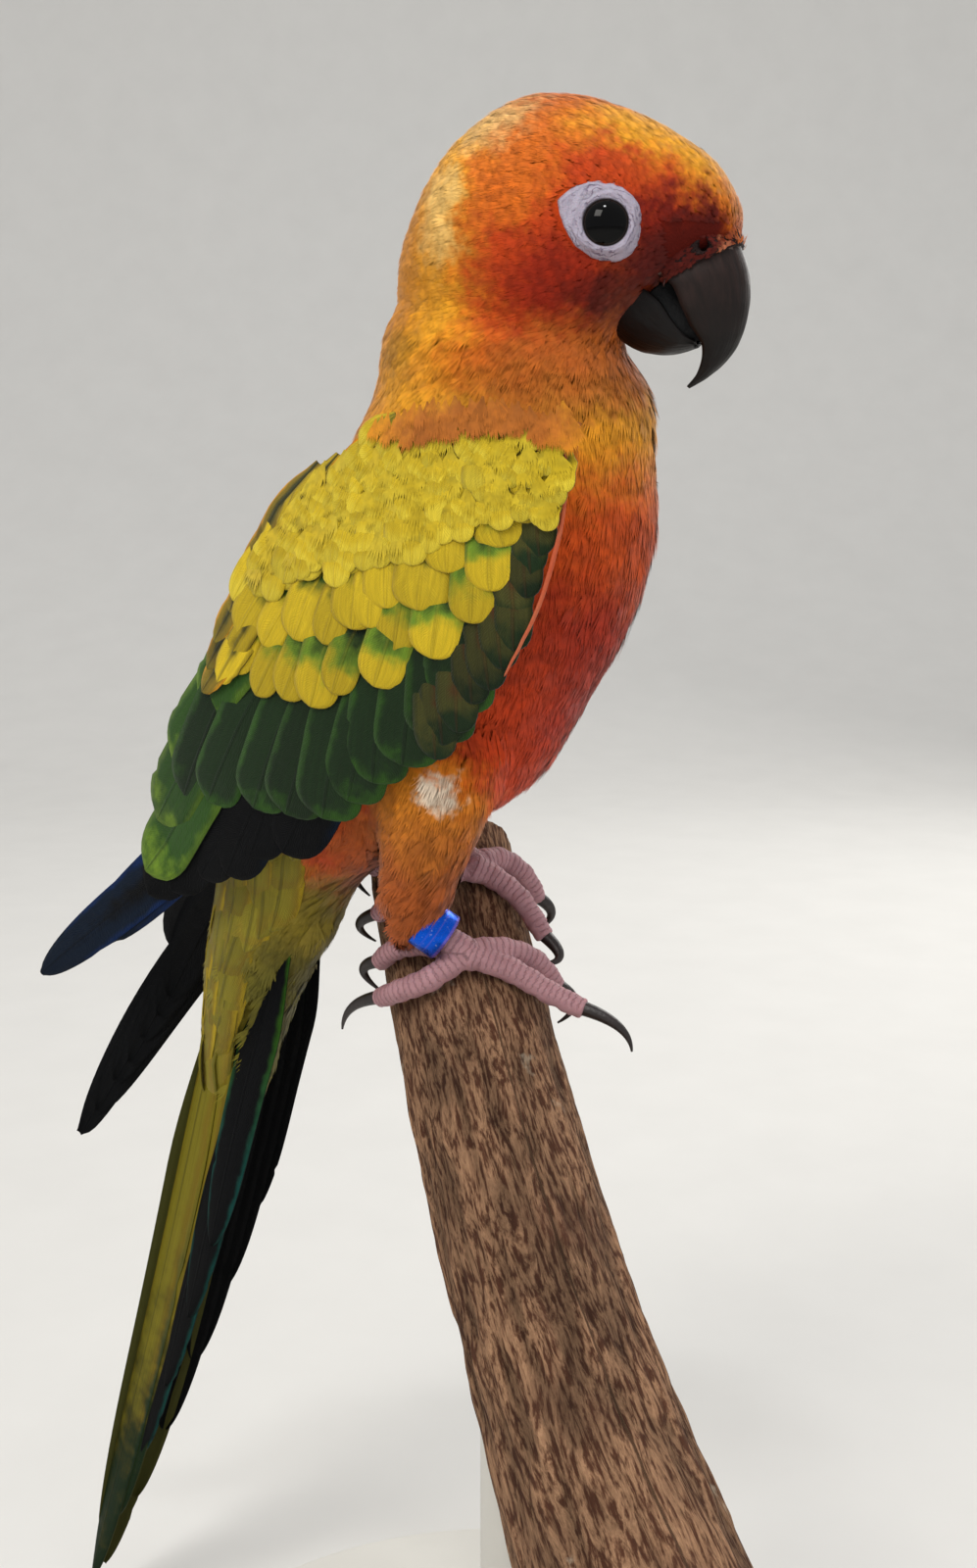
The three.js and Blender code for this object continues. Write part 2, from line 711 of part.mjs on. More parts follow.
function lidForm(centre, look) {
  const lid = new THREE.TorusGeometry(lidOpening + lidThickness, lidThickness, 6, 18);
  lid.applyQuaternion(new THREE.Quaternion().setFromUnitVectors(point(0, 0, 1), look));
  const rim = Math.sqrt(eyeRadius * eyeRadius - lidOpening * lidOpening) - 0.1;
  const place = centre.clone().addScaledVector(look, rim);
  lid.translate(place.x, place.y, place.z);
  return fromGeometry(lid);
}

function addHead() {
  const upperBill = billForm(upperBillStations, 12, 9, 0);
  const upperBillClear = billForm(upperBillStations, 12, 9, gap);
  const cere = billForm(cereStations, 2, 11, 0);
  const cereClear = billForm(cereStations, 2, 11, gap);
  const lowerBillClear = billForm(lowerBillStations, 10, 9, gap);
  const lowerBill = billForm(lowerBillStations, 10, 9, 0);
  const nostrils = [nostrilPlace, mirrored(nostrilPlace)].map((place) =>
    ball(place, nostrilRadius, 8));
  const eyes = { left: eyeCentre, right: mirrored(eyeCentre) };
  const looks = { left: gaze.clone().normalize(), right: mirrored(gaze).normalize() };
  const lids = ['left', 'right'].map((side) => lidForm(eyes[side], looks[side]));
  const eyesClear = Object.values(eyes).map((place) => ball(place, eyeRadius + gap, 16));
  const head = joined([body.intersect(above(headPlane)), ...lids]);
  node('head', without(head, [upperBillClear, cereClear, lowerBillClear, ...eyesClear]), skinOrange);
  node('cere', without(cere, [upperBillClear, ...nostrils]), cereRed);
  node('bill_upper', upperBill, billBlack);
  node('bill_lower', without(lowerBill, [upperBillClear, cereClear]), billBlack);
  for (const side of ['left', 'right']) {
    node(`eye_${side}`, ball(eyes[side], eyeRadius, 16), eyeBlack);
  }
}

function addTrunk() {
  const neck = body.intersect(below(headPlane)).intersect(above(neckPlane));
  const torso = body.intersect(below(neckPlane)).intersect(above(tailPlane));
  const leftGrip = [
    shankForm(leftLeg, gap),
    footForm(farFoot, leftToes, gap),
    ...leftToes.map((toe) => clawForm(farFoot, toe, gap)),
  ];
  const lowerBillClear = billForm(lowerBillStations, 10, 9, gap);
  node('neck', neck.subtract(lowerBillClear), skinOrange);
  node('torso', without(torso, [perchClear, ...leftGrip]), skinOrange);
  node('tail', featheredTail().intersect(below(tailPlane)), tailOlive);
}

function addWings() {
  const leftThighClear = thighForm(leftLeg, gap);
  const rightThighClear = thighForm(rightLeg, gap);
  const right = featheredWing(rightWingPlane, 7);
  const left = featheredWing(leftWingPlane, 19);
  node('wing_right', without(right, [bodyClear, rightThighClear]), wingGreen);
  node('wing_left', without(left, [bodyClear, leftThighClear, perchClear]), wingGreen);
}

function addLeg(side, leg, foot, toes) {
  const thighClear = thighForm(leg, gap);
  const footClear = footForm(foot, toes, gap);
  const ringClear = legRingForm(rightLeg, true);
  const thighCuts = [bodyClear, perchClear, footClear, ringClear];
  node(`thigh_${side}`, without(thighForm(leg), thighCuts), skinOrange);
  node(`shank_${side}`, without(shankForm(leg), [thighClear, footClear, perchClear]), footPink);
  node(`foot_${side}`, without(footForm(foot, toes), [perchClear, ringClear]), footPink);
  toes.forEach((toe, count) => {
    const claw = without(clawForm(foot, toe), [footClear, perchClear]);
    node(`claw_${side}_${count + 1}`, claw, clawBlack);
  });
}

addHead();
addTrunk();
addWings();
addLeg('right', rightLeg, nearFoot, rightToes);
addLeg('left', leftLeg, farFoot, leftToes);
node('leg_ring', legRingForm(rightLeg), ringBlue);
node('perch', perch, barkBrown);

const model = new THREE.Group();
model.add(bird);
node('stand_base', baseForm(), standGrey, model);
rodStations.forEach((along, count) => {
  node(`stand_rod_${count + 1}`, rodForm(along), standGrey, model);
});

export default model;
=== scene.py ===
"""Life-size sun conure on a cut branch, held by a plain display stand.

The bird faces +X and its left side is towards +Y. Its own measures are millimetres in a frame
below the near foot; `placed` turns them into the scene's metres.
"""

import itertools
import json
import math

import bmesh
import bpy
import numpy as np
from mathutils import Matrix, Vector
from mathutils.bvhtree import BVHTree

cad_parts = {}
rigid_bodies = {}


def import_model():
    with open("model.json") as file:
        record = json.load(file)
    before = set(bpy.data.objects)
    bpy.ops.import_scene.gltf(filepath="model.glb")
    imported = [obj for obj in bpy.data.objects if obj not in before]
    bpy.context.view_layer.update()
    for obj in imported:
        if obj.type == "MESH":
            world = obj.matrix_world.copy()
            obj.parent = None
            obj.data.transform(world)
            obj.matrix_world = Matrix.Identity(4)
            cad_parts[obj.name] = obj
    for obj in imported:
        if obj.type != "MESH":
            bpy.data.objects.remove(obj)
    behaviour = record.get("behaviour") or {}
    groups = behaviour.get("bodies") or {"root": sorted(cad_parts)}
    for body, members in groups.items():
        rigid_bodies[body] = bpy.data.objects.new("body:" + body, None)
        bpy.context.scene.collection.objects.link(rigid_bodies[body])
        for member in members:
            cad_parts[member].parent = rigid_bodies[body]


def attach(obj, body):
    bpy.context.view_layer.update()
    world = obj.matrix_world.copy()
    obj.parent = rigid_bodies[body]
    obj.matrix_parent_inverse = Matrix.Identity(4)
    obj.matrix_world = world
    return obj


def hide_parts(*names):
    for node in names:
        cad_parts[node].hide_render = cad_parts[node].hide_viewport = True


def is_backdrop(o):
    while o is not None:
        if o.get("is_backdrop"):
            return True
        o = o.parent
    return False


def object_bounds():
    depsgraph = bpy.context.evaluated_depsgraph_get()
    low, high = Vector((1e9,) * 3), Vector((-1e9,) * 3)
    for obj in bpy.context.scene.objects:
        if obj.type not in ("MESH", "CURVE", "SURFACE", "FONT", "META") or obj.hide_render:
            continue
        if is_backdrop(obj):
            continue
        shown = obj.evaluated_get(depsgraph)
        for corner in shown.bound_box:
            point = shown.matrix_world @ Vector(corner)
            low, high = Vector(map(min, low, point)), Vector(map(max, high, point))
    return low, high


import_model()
cad_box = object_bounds()

# Sizes

MM = 0.001
BIRD = np.array([-8.0, 24.0, 128.0])  # the bird's frame in the scene, mm
SEED = 11

COAT_DEPTH_HEAD = 0.75  # mm from the feathers' outline down to the skin
COAT_DEPTH_BODY = 1.3
SKIN_VOXEL, SKIN_SMOOTHING = 1.0, 10  # grid of the fused skin, and its smoothing passes
FOOT_VOXEL, FOOT_SMOOTHING = 0.34, 3

EYE_RADIUS = 4.3
EYE_CENTRE = np.array([18.8, 11.0, 106.5])  # the left eye, in the bird's frame
GAZE = np.array([0.26, 0.965, 0.04])
LID_OPENING = 3.0  # radius of the lid's margin
PUPIL_RADIUS = 2.7

BILL_ROOT = np.array([33.0, 0.0, 103.0])
WING_SPAN = 130.0  # from the bend to the tip, folded
WING_BULGE = 6.2  # how far the folded wing's face stands out
PERCH_RADIUS = 12.2
PERCH_FLARE = 2.6  # added to the branch's radius at its far end
TOE_RADIUS = 2.0
SHANK_RADIUS = 2.1
CLAW_RADIUS = 1.05

# Colours as sRGB

HUES = {
    "yellow_gold": (0.80, 0.50, 0.07),
    "gold": (0.93, 0.64, 0.13),
    "pale_straw": (0.95, 0.82, 0.52),
    "yellow": (0.77, 0.66, 0.12),
    "lemon": (0.82, 0.73, 0.20),
    "orange": (0.86, 0.43, 0.09),
    "flame": (0.76, 0.24, 0.06),
    "deep_red": (0.58, 0.11, 0.05),
    "maroon": (0.32, 0.07, 0.04),
    "brown_orange": (0.66, 0.36, 0.13),
    "mustard": (0.48, 0.40, 0.10),
    "blush": (0.74, 0.44, 0.30),
    "olive": (0.50, 0.46, 0.12),
    "dark_olive": (0.24, 0.24, 0.09),
    "leaf": (0.16, 0.30, 0.07),
    "dark_leaf": (0.07, 0.15, 0.05),
    "lime": (0.42, 0.54, 0.14),
    "teal": (0.07, 0.26, 0.24),
    "blue": (0.06, 0.17, 0.36),
    "deep_blue": (0.04, 0.10, 0.17),
    "night": (0.018, 0.022, 0.03),
    "white": (0.93, 0.90, 0.82),
}


def linear(colour):
    """sRGB to the renderer's linear RGBA"""
    rgb = [c / 12.92 if c <= 0.04045 else ((c + 0.055) / 1.055) ** 2.4 for c in colour]
    return (*rgb, 1.0)


# Geometry helpers

def placed(points):
    """The bird's millimetres as the scene's metres"""
    return (np.asarray(points, float) + BIRD) * MM


def unit(vectors):
    """Vectors of the same ways with length 1"""
    vectors = np.asarray(vectors, float)
    length = np.linalg.norm(vectors, axis=-1, keepdims=True)
    return vectors / np.maximum(length, 1e-9)


def lerp(first, last, share):
    return first + (last - first) * share


def smoothstep(low, high, value):
    share = np.clip((value - low) / (high - low), 0.0, 1.0)
    return share * share * (3.0 - 2.0 * share)


def mirrored(points):
    """The same places on the bird's other side"""
    return np.asarray(points, float) * [1.0, -1.0, 1.0]


def turns(count):
    """Evenly spaced angles once round"""
    return np.linspace(0.0, 2 * math.pi, count, endpoint=False)


def read_line(line, at):
    """Value at a place, from a row of (place, value) pairs"""
    return np.interp(at, *np.asarray(line, float).T)


def smooth_noise(points, seed=0):
    """Repeatable value noise from -1 to 1 at each point"""
    points = np.asarray(points, float)
    cell = np.floor(points).astype(np.int64)
    share = points - cell
    share = share * share * (3.0 - 2.0 * share)
    total = np.zeros(len(points))
    for corner in range(8):
        step = np.array([corner & 1, corner >> 1 & 1, corner >> 2 & 1])
        at = cell + step
        value = (at[:, 0] * 73856093) ^ (at[:, 1] * 19349663) ^ (at[:, 2] * 83492791)
        value = (value + seed * 6271) & 0x7FFFFFFF
        value = (value ^ (value >> 13)) * 1274126177 & 0x7FFFFFFF
        value = (value ^ (value >> 15)) & 0xFFFF
        weight = np.prod(np.where(step, share, 1.0 - share), axis=1)
        total += weight * value / 0xFFFF
    return total * 2.0 - 1.0


def through(stations, count):
    """Points of a smooth curve through a row of stations of any width"""
    stations = np.asarray(stations, float)
    spans = len(stations) - 1
    at = np.linspace(0.0, spans, count)
    span = np.minimum(at.astype(int), spans - 1)
    share = (at - span)[:, None]
    before = stations[np.maximum(span - 1, 0)]
    start, end = stations[span], stations[span + 1]
    after = stations[np.minimum(span + 2, spans)]
    leave, arrive = (end - before) / 2, (after - start) / 2
    return (
        start * (2 * share**3 - 3 * share**2 + 1)
        + leave * (share**3 - 2 * share**2 + share)
        + end * (3 * share**2 - 2 * share**3)
        + arrive * (share**3 - share**2)
    )


def quadratic(start, bow, end, share):
    """Places on a curve from start to end that a middle point draws aside"""
    share = np.asarray(share, float)[..., None]
    return start * (1 - share) ** 2 + 2 * bow * share * (1 - share) + end * share**2


def grid_faces(rows, columns, around=False):
    """Quads over a grid of points, closed round its columns when `around`"""
    last = columns if around else columns - 1
    row, column = np.meshgrid(np.arange(rows - 1), np.arange(last), indexing="ij")
    first = row * columns + column
    next_column = row * columns + (column + 1) % columns
    faces = np.stack([first, next_column, next_column + columns, first + columns], axis=-1)
    return faces.reshape(-1, 4).tolist()


def closed_rings(rings):
    """Points and faces of a form lofted over rings of points, with fans over both ends"""
    rows, sides = rings.shape[:2]
    points = np.concatenate([rings.reshape(-1, 3), [rings[0].mean(0), rings[-1].mean(0)]])
    faces = grid_faces(rows, sides, around=True)
    first, last, base = rows * sides, rows * sides + 1, (rows - 1) * sides
    for side in range(sides):
        follower = (side + 1) % sides
        faces.append([follower, side, first])
        faces.append([base + side, base + follower, last])
    return points, faces


def tube(path, radii, sides):
    """Rings round a path, turned as little as the path allows"""
    path = np.asarray(path, float)
    ways = unit(np.gradient(path, axis=0))
    across = unit(np.cross(ways[0], [0.3, 0.9, 0.2]))
    angle = turns(sides)
    rings = []
    for centre, way, radius in zip(path, ways, radii):
        across = unit(across - way * (across @ way))
        up = np.cross(way, across)
        rings.append(centre + radius * (np.outer(np.cos(angle), across) + np.outer(np.sin(angle), up)))
    return np.array(rings)


def new_piece(name, points, faces, material=None):
    """Mesh object from the bird's millimetres, smoothly shaded"""
    mesh = bpy.data.meshes.new(name)
    mesh.from_pydata(placed(points).tolist(), [], faces)
    mesh.validate()
    mesh.polygons.foreach_set("use_smooth", np.full(len(mesh.polygons), True))
    mesh.update()
    piece = bpy.data.objects.new(name, mesh)
    bpy.context.scene.collection.objects.link(piece)
    if material:
        mesh.materials.append(material)
    return piece


def store(mesh, label, values):
    """Keeps a number or a direction with each of a mesh's points"""
    values = np.asarray(values, np.float32)
    kind, field = ("FLOAT", "value") if values.ndim == 1 else ("FLOAT_VECTOR", "vector")
    mesh.attributes.new(label, kind, "POINT").data.foreach_set(field, values.ravel())


def store_map(mesh, name, flat):
    """Keeps a flat map, given each point's place in it"""
    corners = np.empty(len(mesh.loops), int)
    mesh.loops.foreach_get("vertex_index", corners)
    mesh.uv_layers.new(name=name).data.foreach_set("uv", flat[corners].ravel())


def outward(piece):
    """Turns a closed piece's faces outward"""
    form = bmesh.new()
    form.from_mesh(piece.data)
    bmesh.ops.recalc_face_normals(form, faces=form.faces)
    form.to_mesh(piece.data)
    form.free()
    return piece


def merged(pieces):
    """Points and faces of several (points, faces) in one"""
    points, faces, start = [], [], 0
    for part_points, part_faces in pieces:
        points.append(part_points)
        faces.extend([[corner + start for corner in face] for face in part_faces])
        start += len(part_points)
    return np.concatenate(points), faces


def remeshed(piece, voxel, smoothing):
    """Fuses a piece's closed forms into one surface"""
    remesh = piece.modifiers.new("fuse", "REMESH")
    remesh.mode = "VOXEL"
    remesh.voxel_size = voxel * MM
    remesh.use_smooth_shade = True
    relax = piece.modifiers.new("relax", "SMOOTH")
    relax.factor = 0.5
    relax.iterations = smoothing
    return applied(piece)


def applied(piece):
    """Makes the result of a piece's modifiers its plain mesh"""
    graph = bpy.context.evaluated_depsgraph_get()
    result = bpy.data.meshes.new_from_object(piece.evaluated_get(graph))
    piece.modifiers.clear()
    piece.data = result
    return piece


def points_of(piece):
    """A piece's points in the bird's millimetres"""
    flat = np.empty(len(piece.data.vertices) * 3)
    piece.data.vertices.foreach_get("co", flat)
    return flat.reshape(-1, 3) / MM - BIRD


def normals_of(piece):
    flat = np.empty(len(piece.data.vertices) * 3)
    piece.data.vertices.foreach_get("normal", flat)
    return flat.reshape(-1, 3)


def move_points(piece, points):
    piece.data.vertices.foreach_set("co", placed(points).ravel())
    piece.data.update()


def settle(piece, slot, *nodes):
    """The piece rides on the bird and stands for CAD nodes, which it hides; its slot is not used"""
    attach(piece, "root")
    if nodes:
        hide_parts(*nodes)
    return piece


# Material helpers

class Shader:
    """A material's or group's node tree with short calls for common nodes"""

    def __init__(self, tree):
        self.tree = tree

    def node(self, kind, **settings):
        made = self.tree.nodes.new(kind)
        for key, value in settings.items():
            setattr(made, key, value)
        return made

    def feed(self, socket, value):
        if isinstance(value, bpy.types.NodeSocket):
            self.tree.links.new(value, socket)
        elif value is not None:
            socket.default_value = value

    def math(self, operation, *values):
        made = self.node("ShaderNodeMath", operation=operation)
        for socket, value in zip(made.inputs, values):
            self.feed(socket, value)
        return made.outputs[0]

    def times(self, first, second):
        return self.math("MULTIPLY", first, second)

    def vector(self, operation, *values):
        made = self.node("ShaderNodeVectorMath", operation=operation)
        for socket, value in zip(made.inputs, values):
            self.feed(socket, value)
        scalar = operation in ("LENGTH", "DOT_PRODUCT")
        return made.outputs["Value" if scalar else "Vector"]

    def scaled(self, vector, share):
        made = self.node("ShaderNodeVectorMath", operation="SCALE")
        self.feed(made.inputs[0], vector)
        self.feed(made.inputs["Scale"], share)
        return made.outputs["Vector"]

    def mix(self, share, first, second, blend="MIX"):
        """Two colours mixed, each a socket, an sRGB triple or the name of one of the HUES"""
        made = self.node("ShaderNodeMix", data_type="RGBA", blend_type=blend)
        self.feed(made.inputs[0], share)
        for socket, colour in zip(made.inputs[6:8], (first, second)):
            colour = HUES[colour] if isinstance(colour, str) else colour
            self.feed(socket, linear(colour) if isinstance(colour, tuple) else colour)
        return made.outputs[2]

    def shaded(self, colour, shade):
        """A colour made darker or lighter by a number"""
        return self.mix(1.0, colour, self.together(shade, shade, shade), blend="MULTIPLY")

    def ramp(self, value, low, high, start=0.0, end=1.0):
        """Turns smoothly from start to end while the value goes from low to high"""
        made = self.node("ShaderNodeMapRange", interpolation_type="SMOOTHSTEP")
        for socket, number in zip(made.inputs, (value, low, high, start, end)):
            self.feed(socket, number)
        return made.outputs[0]

    def noise(self, where, scale, detail=3.0, rough=0.55, output=0):
        made = self.node("ShaderNodeTexNoise")
        values = {"Vector": where, "Scale": scale, "Detail": detail, "Roughness": rough}
        for label, value in values.items():
            self.feed(made.inputs[label], value)
        return made.outputs[output]

    def noise_vector(self, where, scale):
        return self.noise(where, scale, 2.0, 0.5, 1)

    def cells(self, where, scale):
        """How far each place is from the edge of its cell"""
        made = self.node("ShaderNodeTexVoronoi", feature="DISTANCE_TO_EDGE")
        self.feed(made.inputs["Vector"], where)
        self.feed(made.inputs["Scale"], scale)
        return made.outputs["Distance"]

    def objects(self):
        return self.node("ShaderNodeTexCoord").outputs["Object"]

    def attribute(self, name, output="Fac"):
        made = self.node("ShaderNodeAttribute", attribute_name=name)
        return made.outputs[output]

    def apart(self, vector):
        made = self.node("ShaderNodeSeparateXYZ")
        self.feed(made.inputs[0], vector)
        return made.outputs

    def together(self, x, y, z):
        made = self.node("ShaderNodeCombineXYZ")
        for socket, value in zip(made.inputs, (x, y, z)):
            self.feed(socket, value)
        return made.outputs[0]

    def bump(self, height, distance, strength=1.0):
        made = self.node("ShaderNodeBump")
        made.inputs["Strength"].default_value = strength
        made.inputs["Distance"].default_value = distance
        self.feed(made.inputs["Height"], height)
        return made.outputs[0]

    def group(self, tree, **values):
        made = self.node("ShaderNodeGroup", node_tree=tree)
        for key, value in values.items():
            self.feed(made.inputs[key], value)
        return made.outputs


class Finish(Shader):
    """A new material's shader, with its plain sockets set"""

    def __init__(self, name, roughness=0.6, specular=0.4, **constants):
        self.material = bpy.data.materials.new(name)
        self.material.use_nodes = True
        super().__init__(self.material.node_tree)
        self.sockets = self.tree.nodes["Principled BSDF"].inputs
        self.sockets["Roughness"].default_value = roughness
        self.sockets["Specular IOR Level"].default_value = specular
        for key, value in constants.items():
            self.sockets[key.replace("_", " ")].default_value = value

    def done(self, colour, normal=None, rough=None):
        """Feeds the surface and gives the material"""
        for label, value in (("Base Color", colour), ("Normal", normal), ("Roughness", rough)):
            self.feed(self.sockets[label], value)
        return self.material


def new_group(name, inputs, outputs):
    """Empty node group with its sockets; gives its tree, its shader, its start and its end"""
    tree = bpy.data.node_groups.new(name, "ShaderNodeTree")
    for label, kind, value in inputs:
        socket = tree.interface.new_socket(label, in_out="INPUT", socket_type=kind)
        if value is not None:
            socket.default_value = value
    for label, kind in outputs:
        tree.interface.new_socket(label, in_out="OUTPUT", socket_type=kind)
    shader = Shader(tree)
    start = shader.node("NodeGroupInput").outputs
    end = shader.node("NodeGroupOutput").inputs
    return tree, shader, start, end


# Plumage markings, the same for the skin and for every tuft over it

# Each patch: hue, centre in mm with y from the middle plane, reach in mm, softness, strength

HEAD_PATCHES = [
    ("orange", (6, 0, 106), (34, 34, 23), 0.35, 1.0),
    ("gold", (-9, 6, 106), (13, 18, 22), 0.5, 1.0),
    ("gold", (26, 0, 121), (15, 15, 11), 0.7, 1.0),
    ("orange", (12, 0, 125), (8, 14, 6), 0.9, 0.8),
    ("flame", (22, 13, 113), (10, 7, 5), 0.9, 0.9),
    ("flame", (12, 16, 102), (12.5, 12, 10.5), 0.95, 0.95),
    ("orange", (6, 14, 112), (6, 8, 5), 0.9, 0.8),
    ("deep_red", (14, 17, 99), (8, 9, 6), 0.9, 0.75),
    ("deep_red", (28, 9, 105), (8, 9, 6), 0.7, 0.95),
    ("maroon", (29.5, 8, 103.4), (7.5, 8, 6.4), 0.9, 0.95),
    ("maroon", (22, 10, 96.5), (7.5, 9, 6), 0.9, 0.9),
    ("brown_orange", (15, 12, 88), (13, 16, 6), 0.9, 0.6),
    ("blush", (34.6, 6, 103.6), (2.2, 5, 1.5), 0.6, 0.75),
    ("pale_straw", (3, 7, 121), (6, 9, 4.5), 1.0, 0.6),
    ("pale_straw", (-4, 11, 109), (3.6, 9, 7), 1.0, 0.6),
    ("yellow_gold", (-12, 6, 103), (8, 12, 15), 1.0, 0.85),
    ("mustard", (-11, 12, 90), (4, 6, 5), 1.0, 0.3),
]
BODY_PATCHES = [
    ("brown_orange", (12, 10, 85), (14, 18, 5), 0.9, 0.6),
    ("brown_orange", (8, 25, 79), (16, 7, 7), 0.8, 0.9),
    ("flame", (20, 10, 58), (12, 22, 15), 0.9, 0.75),
    ("deep_red", (14, 12, 46), (13, 22, 14), 0.9, 0.8),
    ("flame", (8, 18, 38), (9, 10, 9), 0.9, 0.7),
    ("gold", (-6, 16, 27), (9, 10, 10), 0.9, 0.6),
    ("brown_orange", (-6, 14, 15), (12, 14, 14), 0.9, 0.8),
    ("white", (-2, 22, 30), (2.8, 6, 3.0), 0.9, 0.75),
    ("brown_orange", (-17, 8, 19), (8, 10, 8), 0.9, 0.6),
    ("olive", (-38, 0, 4), (18, 20, 16), 0.7, 0.95),
    ("olive", (-44, 0, -24), (16, 20, 28), 0.5, 1.0),
    ("dark_olive", (-36, 0, -10), (7, 14, 14), 0.9, 0.6),
    ("yellow_gold", (-24, 0, 76), (14, 26, 20), 0.8, 0.9),
    ("dark_olive", (-34, 0, 52), (12, 26, 18), 0.9, 0.75),
]


RAGGED = 2.8  # mm that the patches' edges wander
FLAME_TO_ORANGE = (34.0, 58.0)  # heights in mm over which the breast's colour turns
ORANGE_TO_GOLD = (66.0, 84.0)


def plumage_markings():
    """The bird's colour at each place, from its patches"""
    tree, shader, start, end = new_group(
        "plumage markings",
        [("Place", "NodeSocketVector", None), ("Ragged", "NodeSocketFloat", RAGGED)],
        [("Colour", "NodeSocketColor")],
    )
    shift = tuple(-BIRD * MM)
    bird = shader.scaled(shader.vector("ADD", start["Place"], shift), 1.0 / MM)
    loose = shader.vector("SUBTRACT", shader.noise_vector(bird, 0.22), (0.5, 0.5, 0.5))
    fine = shader.vector("SUBTRACT", shader.noise_vector(bird, 0.9), (0.5, 0.5, 0.5))
    shaken = shader.vector("ADD", loose, shader.scaled(fine, 0.5))
    shaken = shader.scaled(shaken, shader.times(start["Ragged"], 3.0))
    x, y, z = shader.apart(shader.vector("ADD", bird, shaken))
    place = shader.together(x, shader.math("ABSOLUTE", y), z)
    colour = shader.mix(shader.ramp(z, *ORANGE_TO_GOLD), "orange", "gold")
    colour = shader.mix(shader.ramp(z, *FLAME_TO_ORANGE), "flame", colour)
    for name, centre, reach, soft, strength in BODY_PATCHES + HEAD_PATCHES:
        apart = shader.vector("DIVIDE", shader.vector("SUBTRACT", place, centre), reach)
        away = shader.vector("LENGTH", apart)
        inside = shader.ramp(away, 1.0 - 0.5 * soft, 1.0 + 0.5 * soft, strength, 0.0)
        colour = shader.mix(inside, colour, name)
    shader.feed(end["Colour"], colour)
    return tree


OWN_SHARE = 0.35  # share of a barb's own normal in the coat's soft shading


def plumage_material(name, markings, streak):
    """Soft feathers in the bird's markings or in yellow, each tuft a shade of its own, darker towards its
    root as painted shade
    """
    shader = Finish(name, roughness=0.75, specular=0.15, Sheen_Weight=0.2, Sheen_Roughness=0.5)
    place = shader.objects()
    tone = shader.attribute("tone")
    if markings:
        colour = shader.group(markings, Place=place)["Colour"]
    else:
        patch = shader.ramp(shader.noise(place, 200.0, 2.0), 0.4, 0.7, 0.0, 0.6)
        colour = shader.mix(patch, "yellow", "lemon")
        low = shader.ramp(shader.math("MULTIPLY_ADD", tone, 0.4, shader.noise(place, 260.0, 2.0)),
                          0.80, 0.98, 0.0, 0.45)
        colour = shader.mix(low, colour, "olive")
    grain = shader.noise(place, 900.0, 2.0)
    shade = shader.math("MULTIPLY_ADD", tone, streak, 1.0 - streak / 2)
    shade = shader.times(shade, shader.ramp(grain, 0.25, 0.75, 0.86, 1.14))
    # Painted shade: each tuft darker towards its root, where it lies under the tufts over it, and a
    # little lighter at its tip
    root = shader.ramp(shader.attribute("along"), 0.0, 0.7, 0.88, 1.04)
    colour = shader.shaded(colour, shader.times(shade, root))
    own = shader.node("ShaderNodeNewGeometry").outputs["Normal"]
    both = shader.vector("ADD", shader.attribute("soft", "Vector"), shader.scaled(own, OWN_SHARE))
    return shader.done(colour, shader.vector("NORMALIZE", both))


def skin_material(markings):
    """The skin under the coat, a little darker than the feathers over it as painted shade"""
    shader = Finish("plumage ground", roughness=0.85, specular=0.15)
    place = shader.objects()
    colour = shader.group(markings, Place=place)["Colour"]
    # Painted shade: the markings mixed a little towards maroon, for the shade under the coat
    colour = shader.mix(0.14, colour, "maroon")
    return shader.done(colour, shader.bump(shader.noise(place, 1500.0), 0.0003))


# Body's outline, a row of ovals: two ends in the middle plane as (x, z), then the half width

TRUNK = [
    (12, 105, -5, 108, 9), (17.8, 93.6, -15.8, 98, 15.2), (22.5, 86.2, -19, 87, 18),
    (23.2, 78, -23.4, 78, 20.6), (23.4, 66, -30, 67, 21.8), (20.4, 54, -36, 55, 21.8),
    (14.4, 42.5, -41, 42, 20.4), (7, 30.5, -44.5, 28, 17), (-5, 21.5, -46.5, 18, 13.2),
    (-21, 13, -48.5, 8, 9.5), (-27.5, 3, -50.5, -2, 8), (-34, -8, -51.4, -12, 6.6),
    (-38.6, -20, -52.4, -23, 4.4), (-42.6, -31, -52.4, -34, 2.4),
]
HEAD = [
    (-14.9, 103.5, -14.9, 99, 2.5), (-12.6, 109.4, -12.6, 94, 8.5), (-8.2, 117.8, -8.2, 89, 13),
    (-2.4, 123.4, -2.4, 86, 16), (5, 126.6, 5, 86, 17.2), (12.5, 126.2, 12.5, 89.5, 16.7),
    (19.5, 123.8, 19, 94.2, 14.6), (26.3, 120.2, 24.5, 98.6, 11.2),
    (31.6, 115.8, 29.5, 102, 8), (34.9, 110, 34.2, 104.8, 4.4),
]
RIGHT_LEG = {"hip": (-3.5, -10.5, 39), "knee": (-6, -12.6, 26), "hem": (-10.4, -12, 5.6)}
LEFT_LEG = {"hip": (-3.5, 10.5, 41), "knee": (-8, 12.4, 31), "hem": (-16.5, 9.5, 19.4)}
THIGH_WIDTHS = [(0, 9.6), (0.3, 9.6), (0.55, 8), (0.8, 5.5), (1, 1.6)]  # share, radius


def oval_rings(stations, count, sides):
    """Rings of ovals through stations, each swept smoothly into the next"""
    rows = through(stations, count)
    front = np.stack([rows[:, 0], np.zeros(count), rows[:, 1]], axis=1)
    back = np.stack([rows[:, 2], np.zeros(count), rows[:, 3]], axis=1)
    centre, deep = (front + back) / 2, (front - back) / 2
    rings = centre[:, None] + deep[:, None] * np.cos(turns(sides))[None, :, None]
    rings[:, :, 1] += rows[:, 4][:, None] * np.sin(turns(sides))[None, :]
    return rings


def thigh_rings(leg):
    """Rings from the hip over the knee to the hem of the feathers"""
    path = through([leg["hip"], leg["knee"], leg["hem"]], 24)
    return tube(path, read_line(THIGH_WIDTHS, np.linspace(0, 1, 24)), 32)


